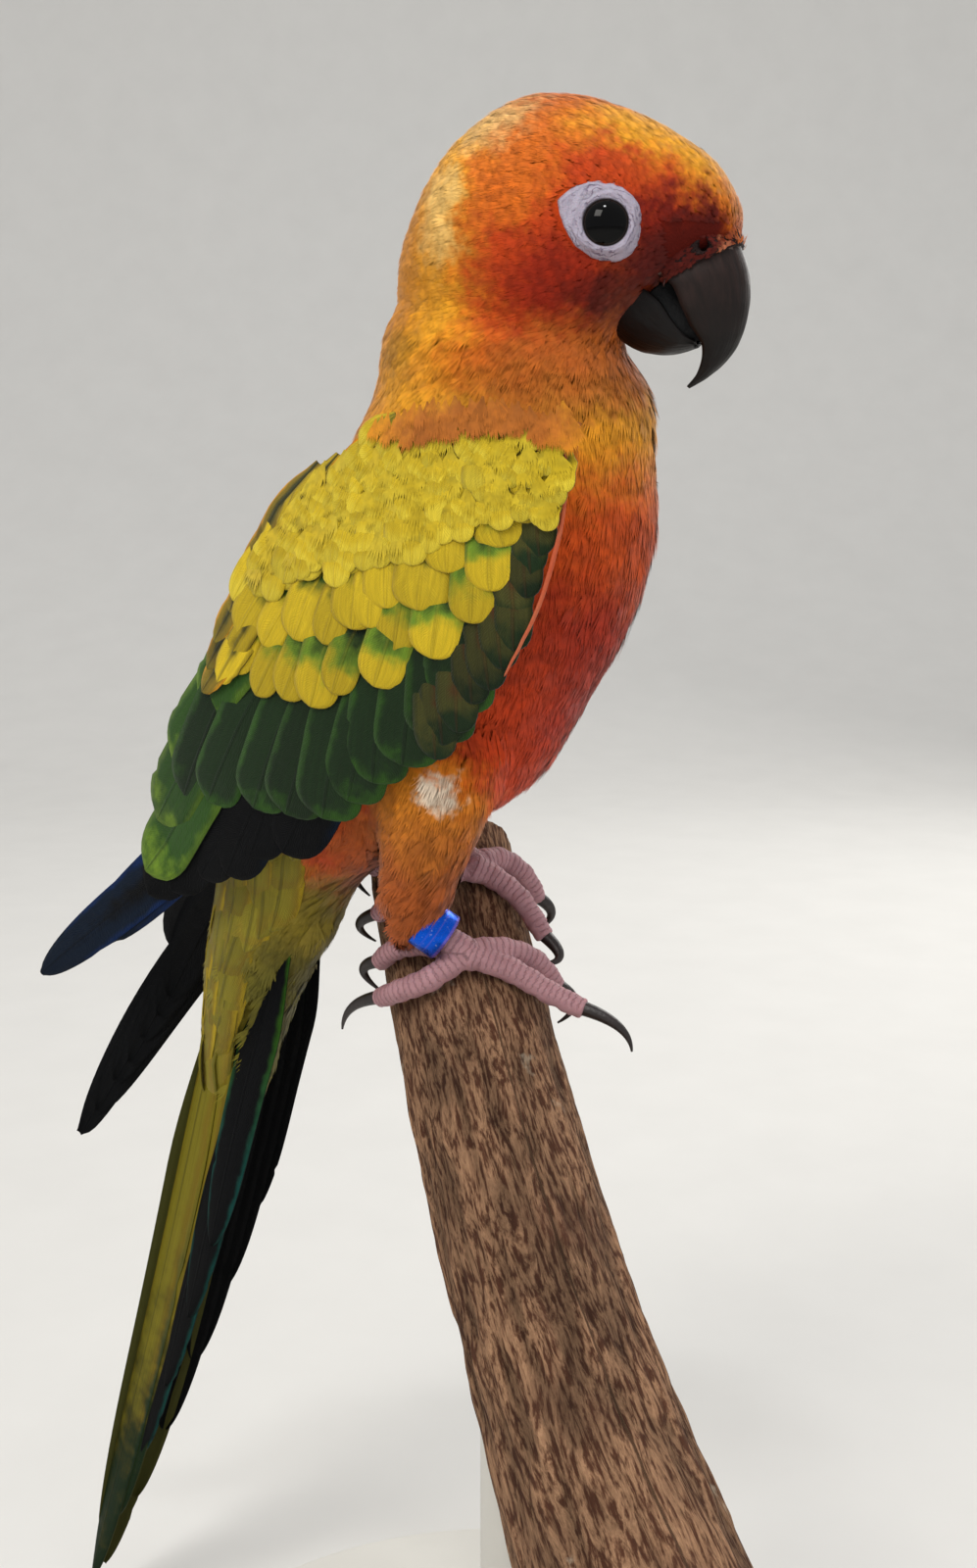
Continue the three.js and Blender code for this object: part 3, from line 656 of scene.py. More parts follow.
def coat_depth(points):
    """How far the skin lies under the outline of the feathers"""
    high = smoothstep(84.0, 96.0, points[:, 2])
    face = smoothstep(26.0, 34.0, points[:, 0]) * high
    return lerp(COAT_DEPTH_BODY, COAT_DEPTH_HEAD, high) - 0.35 * face


def body_skin(material):
    """One skin over head, neck, trunk, thighs and tail root, inside the feathers' outline"""
    forms = [oval_rings(TRUNK, 60, 64), oval_rings(HEAD, 50, 64)]
    forms += [thigh_rings(RIGHT_LEG), thigh_rings(LEFT_LEG)]
    points, faces = merged([closed_rings(rings) for rings in forms])
    piece = outward(new_piece("body_skin", points, faces))
    remeshed(piece, SKIN_VOXEL, SKIN_SMOOTHING)
    points = points_of(piece)
    move_points(piece, points - normals_of(piece) * coat_depth(points)[:, None])
    piece.data.materials.clear()
    piece.data.materials.append(material)
    return piece


def unwrap(piece):
    """Flat map of the skin's own shape, for the coat's patches"""
    bpy.context.view_layer.objects.active = piece
    piece.select_set(True)
    bpy.ops.object.mode_set(mode="EDIT")
    bpy.ops.mesh.select_all(action="SELECT")
    bpy.ops.uv.smart_project(angle_limit=math.radians(66.0), island_margin=0.005)
    bpy.ops.object.mode_set(mode="OBJECT")
    piece.select_set(False)
    piece.data.uv_layers[0].name = "OFBake"


class Surface:
    """A skin's triangles, for finding places on it"""

    def __init__(self, piece):
        mesh = piece.data
        mesh.calc_loop_triangles()
        count = len(mesh.loop_triangles)
        corners, loops = np.empty(count * 3, int), np.empty(count * 3, int)
        mesh.loop_triangles.foreach_get("vertices", corners)
        mesh.loop_triangles.foreach_get("loops", loops)
        self.corners, self.loops = corners.reshape(-1, 3), loops.reshape(-1, 3)
        self.points, self.normals = points_of(piece), normals_of(piece)
        flat = np.empty(len(mesh.loops) * 2)
        mesh.uv_layers["OFBake"].data.foreach_get("uv", flat)
        self.map = flat.reshape(-1, 2)
        self.tree = BVHTree.FromPolygons(self.points.tolist(), self.corners.tolist())

    def scatter(self, count, random):
        """Random roots: places, normals and flat-map places"""
        a, b, c = (self.points[self.corners[:, corner]] for corner in range(3))
        areas = np.linalg.norm(np.cross(b - a, c - a), axis=1)
        chosen = random.choice(len(areas), count, p=areas / areas.sum())
        first, second = np.sqrt(random.random(count)), random.random(count)
        share = np.stack([1 - first, first * (1 - second), first * second], axis=1)[:, :, None]
        places = (self.points[self.corners[chosen]] * share).sum(1)
        normals = unit((self.normals[self.corners[chosen]] * share).sum(1))
        return places, normals, (self.map[self.loops[chosen]] * share).sum(1)

    def open_at(self, place, normal):
        """False in a fold, where skin faces skin"""
        start = Vector(place + normal * 0.6)
        return self.tree.ray_cast(start, Vector(normal), 3.0)[0] is None

    def nearest(self, place):
        found = self.tree.find_nearest(Vector(place))
        return np.array(found[0]), np.array(found[1])


NEIGHBOURS = list(itertools.product((-1, 0, 1), repeat=3))


def spread(places, spacing):
    """Keeps roots in order where none kept is nearer than the spacing"""
    widest = spacing.max()
    kept, cells = [], {}
    for at, (place, apart) in enumerate(zip(places, spacing)):
        cell = tuple((place // widest).astype(int))
        others = (other for x, y, z in NEIGHBOURS
                  for other in cells.get((cell[0] + x, cell[1] + y, cell[2] + z), ()))
        if all(((places[other] - place) ** 2).sum() >= apart * apart for other in others):
            kept.append(at)
            cells.setdefault(cell, []).append(at)
    return np.array(kept)


# Coat

LIE_BEHIND = np.array([-0.55, 0.0, -0.85])  # how the body's feathers lie, behind and in front
LIE_BEFORE = np.array([-0.22, 0.0, -1.0])
LENGTHS_BY_HEIGHT = [(-20, 7), (10, 6), (30, 5.6), (70, 6), (86, 4.6), (96, 3.2), (128, 2.8)]
SHARE_NEAR_BILL = [(3, 0.42), (10, 0.62), (22, 1.0)]  # mm away, share of the full length
SHARE_NEAR_EYE = [(6, 0.55), (12, 1.0)]
SHARE_ON_SHANK = [(4, 0.65), (18, 1.0)]  # height, share of the full length
THIGHS_FROM = -20.0  # the thighs' feathers grow before this x

TUFT_BLADES = 14
TUFT_SHAPES = 6
LEAST_GAP = 0.42  # mm between roots
COAT_PATCH = 0.003  # size of a tuft's patch in the flat map


def from_eye(places):
    """Steps to the places from the nearer eye"""
    return places - EYE_CENTRE * np.where(places[:, 1:2] < 0, [1.0, -1.0, 1.0], 1.0)


def lie_of_coat(places, normals):
    """Direction in which the feathers lie at each place, along the skin"""
    head = unit(places - BILL_ROOT)
    front = smoothstep(-16.0, 10.0, places[:, 0])[:, None]
    body = lerp(LIE_BEHIND, LIE_BEFORE, front)
    high = smoothstep(84.0, 100.0, places[:, 2])[:, None]
    lie = lerp(body, head + [0.0, 0.0, -0.25], high)
    away = from_eye(places)
    near = np.exp(-(np.linalg.norm(away, axis=1, keepdims=True) / 9.0) ** 2)
    lie = lie + unit(away) * near * 0.8
    lie = lie - normals * (lie * normals).sum(1, keepdims=True)
    return unit(lie)


def feather_length(places):
    """Length of a small feather by where it grows"""
    near_bill = read_line(SHARE_NEAR_BILL, np.linalg.norm(places - BILL_ROOT, axis=1))
    near_eye = read_line(SHARE_NEAR_EYE, np.linalg.norm(from_eye(places), axis=1))
    on_shank = read_line(SHARE_ON_SHANK, places[:, 2])
    on_shank = np.where(places[:, 0] > THIGHS_FROM, on_shank, 1.0)
    length = read_line(LENGTHS_BY_HEIGHT, places[:, 2])
    return length * np.minimum(near_bill, near_eye) * on_shank


def tuft_shape(name, seed):
    """A small feather of length 1 along X, split into soft barbs that rise from its root"""
    random = np.random.default_rng(seed)
    points, faces, along, flat = [], [], [], []
    for side in np.linspace(-1.0, 1.0, TUFT_BLADES):
        reach = 1.0 - 0.25 * side * side - 0.14 * random.random()
        root = np.array([0.02 + 0.2 * abs(side), 0.06 * side])
        bow = np.array([0.45, 0.20 * side])
        tip = np.array([reach, 0.30 * side + 0.09 * (random.random() - 0.5)])
        lift = 0.035 * random.random()
        start = len(points)
        for share, half in ((0.0, 0.033), (0.55, 0.036), (1.0, 0.0)):
            x, y = quadratic(root, bow, tip, share)
            for edge in ((-1, 1) if half else (0,)):
                rise = 0.05 + 0.25 * x - 0.19 * x * x - 0.35 * y * y + lift
                points.append([x, y + edge * half, rise - 0.5 * half * abs(edge)])
                along.append(x)
                flat.append([x, y + edge * half + 0.5])
        faces.append([start, start + 2, start + 3, start + 1])
        faces.append([start + 2, start + 4, start + 3])
    mesh = bpy.data.meshes.new(name)
    mesh.from_pydata(points, [], faces)
    store(mesh, "along", along)
    mesh.attributes.new("patch", "FLOAT2", "POINT").data.foreach_set("vector", np.ravel(flat))
    mesh.polygons.foreach_set("use_smooth", [True] * len(mesh.polygons))
    return bpy.data.objects.new(name, mesh)


def tuft_collection():
    """The tufts' shapes, that each root picks one of"""
    tufts = bpy.data.collections.new("tufts")
    for count in range(TUFT_SHAPES):
        tufts.objects.link(tuft_shape(f"tuft_{count}", SEED + count))
    return tufts


def coat_tree():
    """Geometry Nodes: a tuft on each root, turned to its lie, sized, realized and mapped"""
    tree = bpy.data.node_groups.new("coat of tufts", "GeometryNodeTree")
    sockets = (
        ("Roots", "INPUT", "NodeSocketGeometry"), ("Tufts", "INPUT", "NodeSocketCollection"),
        ("Finish", "INPUT", "NodeSocketMaterial"), ("Patch", "INPUT", "NodeSocketFloat"),
        ("Seed", "INPUT", "NodeSocketInt"), ("Coat", "OUTPUT", "NodeSocketGeometry"),
    )
    for label, side, kind in sockets:
        tree.interface.new_socket(label, in_out=side, socket_type=kind)
    make, link = tree.nodes.new, tree.links.new
    start, end = make("NodeGroupInput").outputs, make("NodeGroupOutput").inputs

    def named(label, kind):
        node = make("GeometryNodeInputNamedAttribute")
        node.data_type = kind
        node.inputs["Name"].default_value = label
        return node.outputs["Attribute"]

    place = make("GeometryNodeInstanceOnPoints")
    pick = make("GeometryNodeCollectionInfo")
    pick.inputs["Separate Children"].default_value = True
    pick.inputs["Reset Children"].default_value = True
    number = make("FunctionNodeRandomValue")
    number.data_type = "INT"
    turn = make("FunctionNodeAxesToRotation")
    turn.primary_axis, turn.secondary_axis = "Z", "X"
    number.inputs[4].default_value = 0
    number.inputs[5].default_value = TUFT_SHAPES - 1
    link(start["Seed"], number.inputs["Seed"])
    link(start["Roots"], place.inputs["Points"])
    link(start["Tufts"], pick.inputs["Collection"])
    link(pick.outputs["Instances"], place.inputs["Instance"])
    place.inputs["Pick Instance"].default_value = True
    link(number.outputs[2], place.inputs["Instance Index"])
    link(named("up", "FLOAT_VECTOR"), turn.inputs[0])
    link(named("lie", "FLOAT_VECTOR"), turn.inputs[1])
    link(turn.outputs[0], place.inputs["Rotation"])
    link(named("size", "FLOAT_VECTOR"), place.inputs["Scale"])
    real = make("GeometryNodeRealizeInstances")
    link(place.outputs[0], real.inputs[0])
    patch = make("ShaderNodeVectorMath")
    patch.operation = "SCALE"
    link(named("patch", "FLOAT_VECTOR"), patch.inputs[0])
    link(start["Patch"], patch.inputs["Scale"])
    spot = make("ShaderNodeVectorMath")
    link(named("root_map", "FLOAT_VECTOR"), spot.inputs[0])
    link(patch.outputs[0], spot.inputs[1])
    store = make("GeometryNodeStoreNamedAttribute")
    store.data_type, store.domain = "FLOAT2", "CORNER"
    store.inputs["Name"].default_value = "OFBake"
    link(real.outputs[0], store.inputs["Geometry"])
    link(spot.outputs[0], store.inputs["Value"])
    finish = make("GeometryNodeSetMaterial")
    link(store.outputs[0], finish.inputs["Geometry"])
    link(start["Finish"], finish.inputs["Material"])
    link(finish.outputs[0], end["Coat"])
    return tree


def coat_piece(name, tree, tufts, material, roots, seed):
    """One piece of coat from its roots: places, normals, lie, sizes and flat-map places"""
    piece = new_piece(name, roots["place"], [])
    for label in ("up", "lie", "size", "soft", "tone"):
        store(piece.data, label, roots[label])
    store(piece.data, "root_map", np.pad(roots["map"], ((0, 0), (0, 1))))
    modifier = piece.modifiers.new("coat", "NODES")
    modifier.node_group = tree
    values = {"Tufts": tufts, "Finish": material, "Patch": COAT_PATCH, "Seed": seed}
    for item in tree.interface.items_tree:
        if item.name in values:
            modifier[item.identifier] = values[item.name]
    applied(piece)
    for label in ("up", "lie", "size", "root_map", "patch"):
        if label in piece.data.attributes:
            piece.data.attributes.remove(piece.data.attributes[label])
    return piece


def coat_roots(surface, count, random, grows, sized, gap):
    """Roots of small feathers spread over a skin wherever they grow"""
    places, normals, maps = surface.scatter(count, random)
    keep = grows(places)
    roots = spread_roots(places[keep], normals[keep], maps[keep], sized(places[keep]), gap)
    clear = [surface.open_at(*root) for root in zip(roots["place"], roots["up"])]
    return chosen_roots(roots, np.array(clear))


def spread_roots(places, normals, maps, length, gap):
    """Roots no nearer to each other than a share of their feathers' length"""
    kept = spread(places, np.maximum(length * gap, LEAST_GAP))
    return {"place": places[kept], "up": normals[kept], "map": maps[kept], "length": length[kept]}


def laid(roots, lie, random, broad=0.95, high=1.0):
    """Adds to the roots how their feathers lie, their sizes, shades and soft shading"""
    up = roots["up"]
    lie = unit(lie + random.normal(0.0, 0.13, lie.shape))
    roots["lie"] = unit(lie - up * (lie * up).sum(1, keepdims=True))
    scale = roots["length"] * MM * (1.0 + random.normal(0.0, 0.12, len(up)))
    roots["size"] = np.stack([scale, scale * broad, scale * high], axis=1)
    roots["tone"] = np.clip(random.normal(0.5, 0.2, len(up)), 0.0, 1.0)
    roots["soft"] = unit(up + 0.16 * lie + random.normal(0.0, 0.09, up.shape))
    return roots


def chosen_roots(roots, inside):
    return {label: values[inside] for label, values in roots.items()}


# Wings and tail: long feathers as thin closed vanes

BULGE_AT = (40.0, 5.0)  # u and v where the wing's face stands out most
BULGE_REACH = (52.0, 28.0)


class WingPlane:
    """A folded wing's own plane: u from the bend to the tip, v towards the back, in mm"""

    def __init__(self, bend, tip, over_back, low_share=1.0, back_bow=0.0):
        self.bend, tip, over_back = (np.array(at, float) for at in (bend, tip, over_back))
        self.low_share, self.back_bow = low_share, back_bow
        self.u = unit(tip - self.bend)
        self.n = unit(np.cross(self.u, over_back - self.bend))
        if self.n[1] * self.bend[1] < 0:
            self.n = -self.n
        self.v = np.cross(self.n, self.u)
        if self.v[2] < 0:
            self.v = -self.v
        self.stretch = np.linalg.norm(tip - self.bend) / WING_SPAN

    def place(self, u, v, lift):
        """Places on the wing's bulging outer face, raised by lift"""
        u, v, lift = np.broadcast_arrays(u, v, lift)
        along = np.maximum(0.0, 1.0 - ((u - BULGE_AT[0]) / BULGE_REACH[0]) ** 2)
        out = WING_BULGE * along * (1.0 - ((v - BULGE_AT[1]) / BULGE_REACH[1]) ** 2) + lift
        kept = lerp(self.low_share, 1.0, smoothstep(40.0, 90.0, u))
        bow = self.back_bow * np.sin(math.pi * np.clip((u - 30.0) / 100.0, 0.0, 1.0))
        back = bow + np.where(v < 0, v * kept, v)
        return (self.bend + (u * self.stretch)[..., None] * self.u
                + back[..., None] * self.v + out[..., None] * self.n)


RIGHT_WING = WingPlane((19.2, -25, 76.8), (-79.2, -8, -6), (-32.5, -14, 59.5))
LEFT_WING = WingPlane((13, 25, 72), (-78, 4, -36), (-35, 14, 52), 0.6, 8.5)

VANE_THICKNESS = 0.22
VANE_ROOF = 0.04  # rise of a vane's middle over its edges, as a share of its width
TIP_DROP = 0.12


def leaf(rows, columns, round_from, notch, random):
    """Grid of a feather: shares along and across, half width share at each row, edge cuts"""
    along = 1.0 - (1.0 - np.linspace(0.0, 1.0, rows)) ** 1.6
    across = np.linspace(-1.0, 1.0, columns)
    bell = np.clip((along - round_from) / (1.0 - round_from), 0.0, 1.0)
    half = np.sqrt(np.maximum(1.0 - bell**2.8, 0.02))
    half = half * (0.35 + 0.65 * smoothstep(0.0, 0.35, along))
    cut = np.ones((rows, columns))
    for row in range(rows // 3, rows - 1):
        for edge in (0, columns - 1):
            if random.random() < notch:
                cut[row, edge] = 0.88 + 0.08 * random.random()
    along_grid, across_grid = np.meshgrid(along, across, indexing="ij")
    return along_grid, across_grid * cut * half[:, None], across_grid


def closed_vane(top, up):
    """Points and faces of a thin vane: its top grid and the same grid lowered along `up`"""
    rows, columns = top.shape[:2]
    bottom = top - up * VANE_THICKNESS
    points = np.concatenate([top.reshape(-1, 3), bottom.reshape(-1, 3)])
    upper = grid_faces(rows, columns)
    below = rows * columns
    faces = upper + [[corner + below for corner in reversed(face)] for face in upper]
    rim = [row * columns for row in range(rows)]
    rim += [(rows - 1) * columns + column for column in range(1, columns)]
    rim += [row * columns + columns - 1 for row in range(rows - 2, -1, -1)]
    rim += list(range(columns - 2, 0, -1))
    for first, second in zip(rim, rim[1:] + rim[:1]):
        faces.append([first, second, second + below, first + below])
    return points, faces


ATLAS_MARGIN = 0.06  # share of a cell left free at each edge


class Vanes:
    """Collects vanes into one piece with their maps and shades"""

    def __init__(self):
        self.parts, self.maps, self.facts = [], [], []

    def add(self, top, up, along, across, tone, size):
        self.parts.append(closed_vane(top, up))
        flat = np.stack([across.ravel() * 0.5 + 0.5, along.ravel()], axis=1)
        self.maps.append(np.concatenate([flat, flat]))
        under = np.repeat([0.0, 1.0], len(flat))
        self.facts.append(np.column_stack([under, np.tile([tone, *size], (len(under), 1))]))

    def piece(self, name, material):
        points, faces = merged(self.parts)
        made = outward(new_piece(name, points, faces, material))
        flat, facts = np.concatenate(self.maps), np.concatenate(self.facts)
        for label, values in zip(("under", "tone", "span", "breadth"), facts.T):
            store(made.data, label, values)
        store_map(made.data, "Vane", flat)
        store_map(made.data, "OFBake", self.atlas(flat, facts[:, 0]))
        return made

    def atlas(self, flat, under):
        """Each vane's top and underside in a cell of its own"""
        side = math.ceil(math.sqrt(len(self.maps) * 2))
        vane = np.repeat(np.arange(len(self.maps)), [len(one) for one in self.maps])
        cell = vane * 2 + (under > 0.5)
        corner = np.stack([cell % side, cell // side], axis=1)
        return (corner + ATLAS_MARGIN + flat * (1.0 - 2 * ATLAS_MARGIN)) / side


def wing_vane(vanes, plane, tip, heading, length, width, lift, tilt, random, look):
    """A feather lying on the wing, its tip at [u, v] and its root sunk in the arm"""
    rows, columns, round_from, notch, sink, curve = look
    along, side, across = leaf(rows, columns, round_from, notch, random)
    turn = math.radians(heading)
    way = np.array([math.cos(turn), -math.sin(turn)])
    left = np.array([-way[1], way[0]])
    y = side * width / 2 + curve * length * along * (1.0 - along)
    x = (along - 1.0) * length
    u = tip[0] + x * way[0] + y * left[0]
    v = tip[1] + x * way[1] + y * left[1]
    rise = lerp(sink, lift, np.minimum(1.0, along / 0.55)) + tilt * side * width / 2
    rise = rise + VANE_ROOF * width * (1.0 - across**2) - TIP_DROP * smoothstep(0.8, 1.0, along)
    top = plane.place(u, v, rise)
    vanes.add(top, plane.n, along, across, random.random(), (length, width))


# Rows of wing feathers

# Tips as [u, v] from the front to the rear, one for each feather where the count is 0. Headings
# are degrees down from the wing's length. Headings, lengths, widths and lifts go from the first
# feather to the last. Look: rows, columns, where the tip rounds, notches, sink, curve
WING_ROWS = {
    "primaries": dict(count=7, tips=[(104, -4), (113, -3.2), (121.6, -1.9), (131.4, -0.6)],
        headings=(3, -4), lengths=(56, 78), widths=(9, 8), lifts=(-2.9, -2.1), tilt=0.08,
        look=(26, 7, 0.55, 0.05, -2.2, 0.02)),
    "secondaries": dict(count=8, tips=[(66, -12.6), (75, -12.8), (88, -8.6), (101, -3.6)],
        headings=(26, 7), lengths=(34, 50), widths=(10.5, 10.5), lifts=(-1.9, -1.3), tilt=0.08,
        look=(22, 7, 0.78, 0.08, -2.2, 0.03)),
    "tertials": dict(count=4, tips=[(98.4, -0.4), (91.6, 4), (80, 7.6), (70, 11.4)],
        headings=(11, 5), lengths=(42, 28), widths=(11.6, 10.5), lifts=(-0.9, -0.5), tilt=-0.07,
        look=(20, 8, 0.78, 0.12, -2.2, -0.02)),
    "greater": dict(count=12, tips=[(29, -15), (38, -17.4), (54.2, -16.4), (67.7, -11), (82.4, 3.6)],
        headings=(52, 15), lengths=(22, 31), widths=(9.4, 9.8), lifts=(-0.2, -0.4), tilt=0.1,
        look=(20, 9, 0.83, 0.0, -2.0, 0.0)),
    "marginal": dict(count=11, tips=[(11.4, -8), (20, -14.4), (30, -17.6), (42, -19.4)],
        headings=(56, 44), lengths=(13, 19), widths=(4.6, 6), lifts=(0.15, 0.0), tilt=0.1,
        look=(14, 8, 0.7, 0.1, -1.8, 0.0)),
    "median": dict(count=0, tips=[(9.4, -4.6), (13.6, -5), (18.5, -8), (24.2, -9.4), (30.6, -10),
        (35.4, -5.2), (40.4, -7.6), (46.7, -3.4), (51.8, -3.6), (54.4, 0.6), (58.2, 4.6), (60.6, 9)],
        headings=(60, 18), lengths=(12, 21), widths=(7.6, 5.8), lifts=(0.6, 0.6), tilt=0.12,
        look=(18, 9, 0.76, 0.0, -1.8, 0.0)),
    "upper_median": dict(count=0, tips=[(7.6, -2.6), (14.6, -1.4), (22, -2.6), (28, -3.8),
        (33, -0.6), (36, -1.6), (38.6, 1.4), (43.4, 1.6), (47.4, 5.6), (52.6, 8.4), (56, 13)],
        headings=(58, 20), lengths=(11, 16), widths=(7.2, 6.2), lifts=(1.0, 1.0), tilt=0.1,
        look=(17, 9, 0.72, 0.0, -1.4, 0.0)),
    "top_median": dict(count=0, tips=[(12.4, 1.2), (18.6, 2), (25, 3.4), (30, 6.2), (35.4, 7.6),
        (40.6, 10.4), (45.4, 12), (50, 15.4), (54, 18)],
        headings=(56, 20), lengths=(9, 13), widths=(6.8, 6), lifts=(1.35, 1.3), tilt=0.1,
        look=(15, 9, 0.66, 0.0, -1.0, 0.0)),
    "scapulars": dict(count=8, tips=[(40, 19.6), (46, 17.8), (52, 15.4), (58, 12.8), (64, 10)],
        headings=(26, 12), lengths=(12, 17), widths=(4.2, 5), lifts=(1.3, 0.9), tilt=0.04,
        look=(14, 8, 0.6, 0.12, -2.2, 0.0)),
    "upper_scapulars": dict(count=8, tips=[(45, 22.2), (50, 20.4), (56, 17.6), (62, 14.6), (68, 11.8)],
        headings=(20, 10), lengths=(13, 18), widths=(4.4, 5), lifts=(1.1, 0.7), tilt=-0.1,
        look=(14, 8, 0.6, 0.12, -2.4, 0.0)),
}

# Lines over the folded wing as [u, v]: its leading edge, the arm, and the lesser coverts' lower end
WING_EDGE = [(0.4, -0.4), (2.2, -3.4), (7.6, -8.8), (15.4, -13.8), (25, -17.4)]
ARM_UPPER = [(-2, 4), (4, 12), (19, 23.4), (31, 25), (43, 22.6), (52, 18.8), (57, 13)]
ARM_LOWER = [(-2.6, 2.6), (2, -3), (11, -8), (24, -9), (38, -6), (50, -2), (57, 6)]
LESSER_END = [(-5, 3.5), (5, -4), (8.6, 0.6), (14.7, 3.4), (22.8, 6.6), (31.4, 12), (44, 19), (60, 26)]
ARM_THICKNESS = (2.6, 1.4)
ARM_SUNK = 1.4  # mm that the arm's flesh ends below ARM_UPPER


def feathered_row(vanes, plane, row, random):
    """One row of WING_ROWS, laid loosely, and looser where each tip is given"""
    loose = 2.0 if row["count"] else 5.0
    tips = through(row["tips"], row["count"]) if row["count"] else np.array(row["tips"], float)
    for at, tip in enumerate(tips):
        share = at / (len(tips) - 1)
        heading = lerp(*row["headings"], share) + random.normal(0.0, loose)
        length = lerp(*row["lengths"], share) * (1.0 + random.normal(0.0, 0.04))
        width = lerp(*row["widths"], share) * (1.0 + random.normal(0.0, 0.02 * loose))
        tip = tip + random.normal(0.0, 0.45, 2)
        lift = lerp(*row["lifts"], share)
        wing_vane(vanes, plane, tip, heading, length, width, lift, row["tilt"], random, row["look"])


def arm_skin(name, plane, material):
    """Fleshy arm under the small feathers, with rounded edges"""
    upper, lower = through(ARM_UPPER, 40) - [0.0, ARM_SUNK], through(ARM_LOWER, 40)
    turn = turns(28)
    across = ((1.0 - np.cos(turn)) / 2)[None, :, None]
    edge = lerp(upper[:, None], lower[:, None], across)
    thick = np.linspace(*ARM_THICKNESS, 40)[:, None]
    lift = thick / 2 * (np.sin(turn)[None, :] - 1.0) - 0.35
    points, faces = closed_rings(plane.place(edge[..., 0], edge[..., 1], lift))
    return outward(new_piece(name, points, faces, material))


def wing_edge(name, plane, material):
    """Thin fold of pale feathers along the wing's leading edge"""
    path = through(WING_EDGE, 60)
    share = np.linspace(0.0, 1.0, 60)
    frayed = 0.08 * smooth_noise(np.column_stack([share * 26, share * 0, share * 0]), 2)
    line = plane.place(path[:, 0], path[:, 1], 0.35 + frayed)
    points, faces = closed_rings(tube(line, 0.27 * np.sin(math.pi * share) ** 0.4 + 0.04, 12))
    return outward(new_piece(name, points, faces, material))


LESSER_STEPS = (2.3, 2.2)  # mm between lesser coverts along u and v
LESSER_LENGTHS = (4.8, 8.2)
LESSER_WIDTH = 0.66  # as a share of the length
LESSER_LIFT = 1.5
LESSER_BELOW_TOP = 2.6  # mm that they end below ARM_UPPER
LESSER_REACH = 55.0  # u over which they grow from the first length to the last


def small_coverts(vanes, plane, random):
    """Lesser coverts shingled over the arm, from the bend to the median coverts"""
    for line, u in enumerate(np.arange(-4.5, 58.0, LESSER_STEPS[0])):
        high = read_line(ARM_UPPER, u) - LESSER_BELOW_TOP
        low = max(read_line(LESSER_END, u), read_line(ARM_LOWER, u))
        far = np.clip(u / LESSER_REACH, 0, 1)
        for v in np.arange(low + (line % 2) * LESSER_STEPS[1] / 2, high, LESSER_STEPS[1]):
            share = (v - low) / max(high - low, 1.0)
            root = np.array([u, v]) + random.normal(0.0, 0.35, 2)
            heading = lerp(lerp(58, 34, far), 14, share) + random.normal(0.0, 6.0)
            length = lerp(*LESSER_LENGTHS, far) * (1.0 + random.normal(0.0, 0.08))
            turn = math.radians(heading)
            tip = root + length * np.array([math.cos(turn), -math.sin(turn)])
            look = (11, 7, 0.62, 0.1, -0.5, random.normal(0.0, 0.05))
            width = length * LESSER_WIDTH
            wing_vane(vanes, plane, tip, heading, length, width, LESSER_LIFT, 0.02, random, look)


# Soft feathers over the wing's arm: sampled roots, lift over the wing's face, lengths from the
# bend to LESSER_REACH, gap between roots as a share of the length, heading at the bend
SOFT_COVERTS = dict(count=26000, lift=1.4, lengths=(4.4, 6.0), gap=0.4, heading=58.0)
NECK_DRAPE = dict(count=24000, lift=1.75, lengths=(3.6, 5.0), gap=0.24, heading=66.0)
DRAPE_DEPTH = 3.6  # how far the neck's feathers fall over the wing's top edge


def covert_roots(plane, random, look):
    """Roots of the softest feathers: coverts above the medians, or the neck's over their top"""
    count, step = look["count"], 0.3
    u, v = random.uniform(-5.0, 60.0, count), random.uniform(-12.0, 28.0, count)
    high = read_line(ARM_UPPER, u)
    edge = high - DRAPE_DEPTH * smoothstep(25.0, 15.0, u)
    if look is NECK_DRAPE:
        high_end = high + 0.9 - 2.6 * smoothstep(12.0, 20.0, u)
        inside = (u > -4.0) & (u < 25.0) & (v > edge) & (v < high_end)
    else:
        low = np.maximum(read_line(LESSER_END, u), read_line(ARM_LOWER, u))
        high_end = edge + 1.2 - 2.8 * smoothstep(12.0, 19.0, u)
        inside = (u > -1.5) & (v > low) & (v < high_end)
    u, v = u[inside], v[inside]
    places = plane.place(u, v, look["lift"])
    along = plane.place(u + step, v, look["lift"]) - places
    back = plane.place(u, v + step, look["lift"]) - places
    normals = unit(np.cross(along, back))
    normals = normals * np.sign(normals @ plane.n)[:, None]
    maps = np.column_stack([(u + 8.0) / 72.0, (v + 14.0) / 46.0])
    length = lerp(*look["lengths"], np.clip(u / LESSER_REACH, 0.0, 1.0))
    roots = spread_roots(places, normals, maps, length, look["gap"])
    far = np.clip((roots["place"] - plane.bend) @ plane.u / LESSER_REACH, 0.0, 1.0)[:, None]
    heading = np.radians(lerp(look["heading"], 30.0, far))
    return laid(roots, np.cos(heading) * plane.u - np.sin(heading) * plane.v, random, 1.1, 0.3)


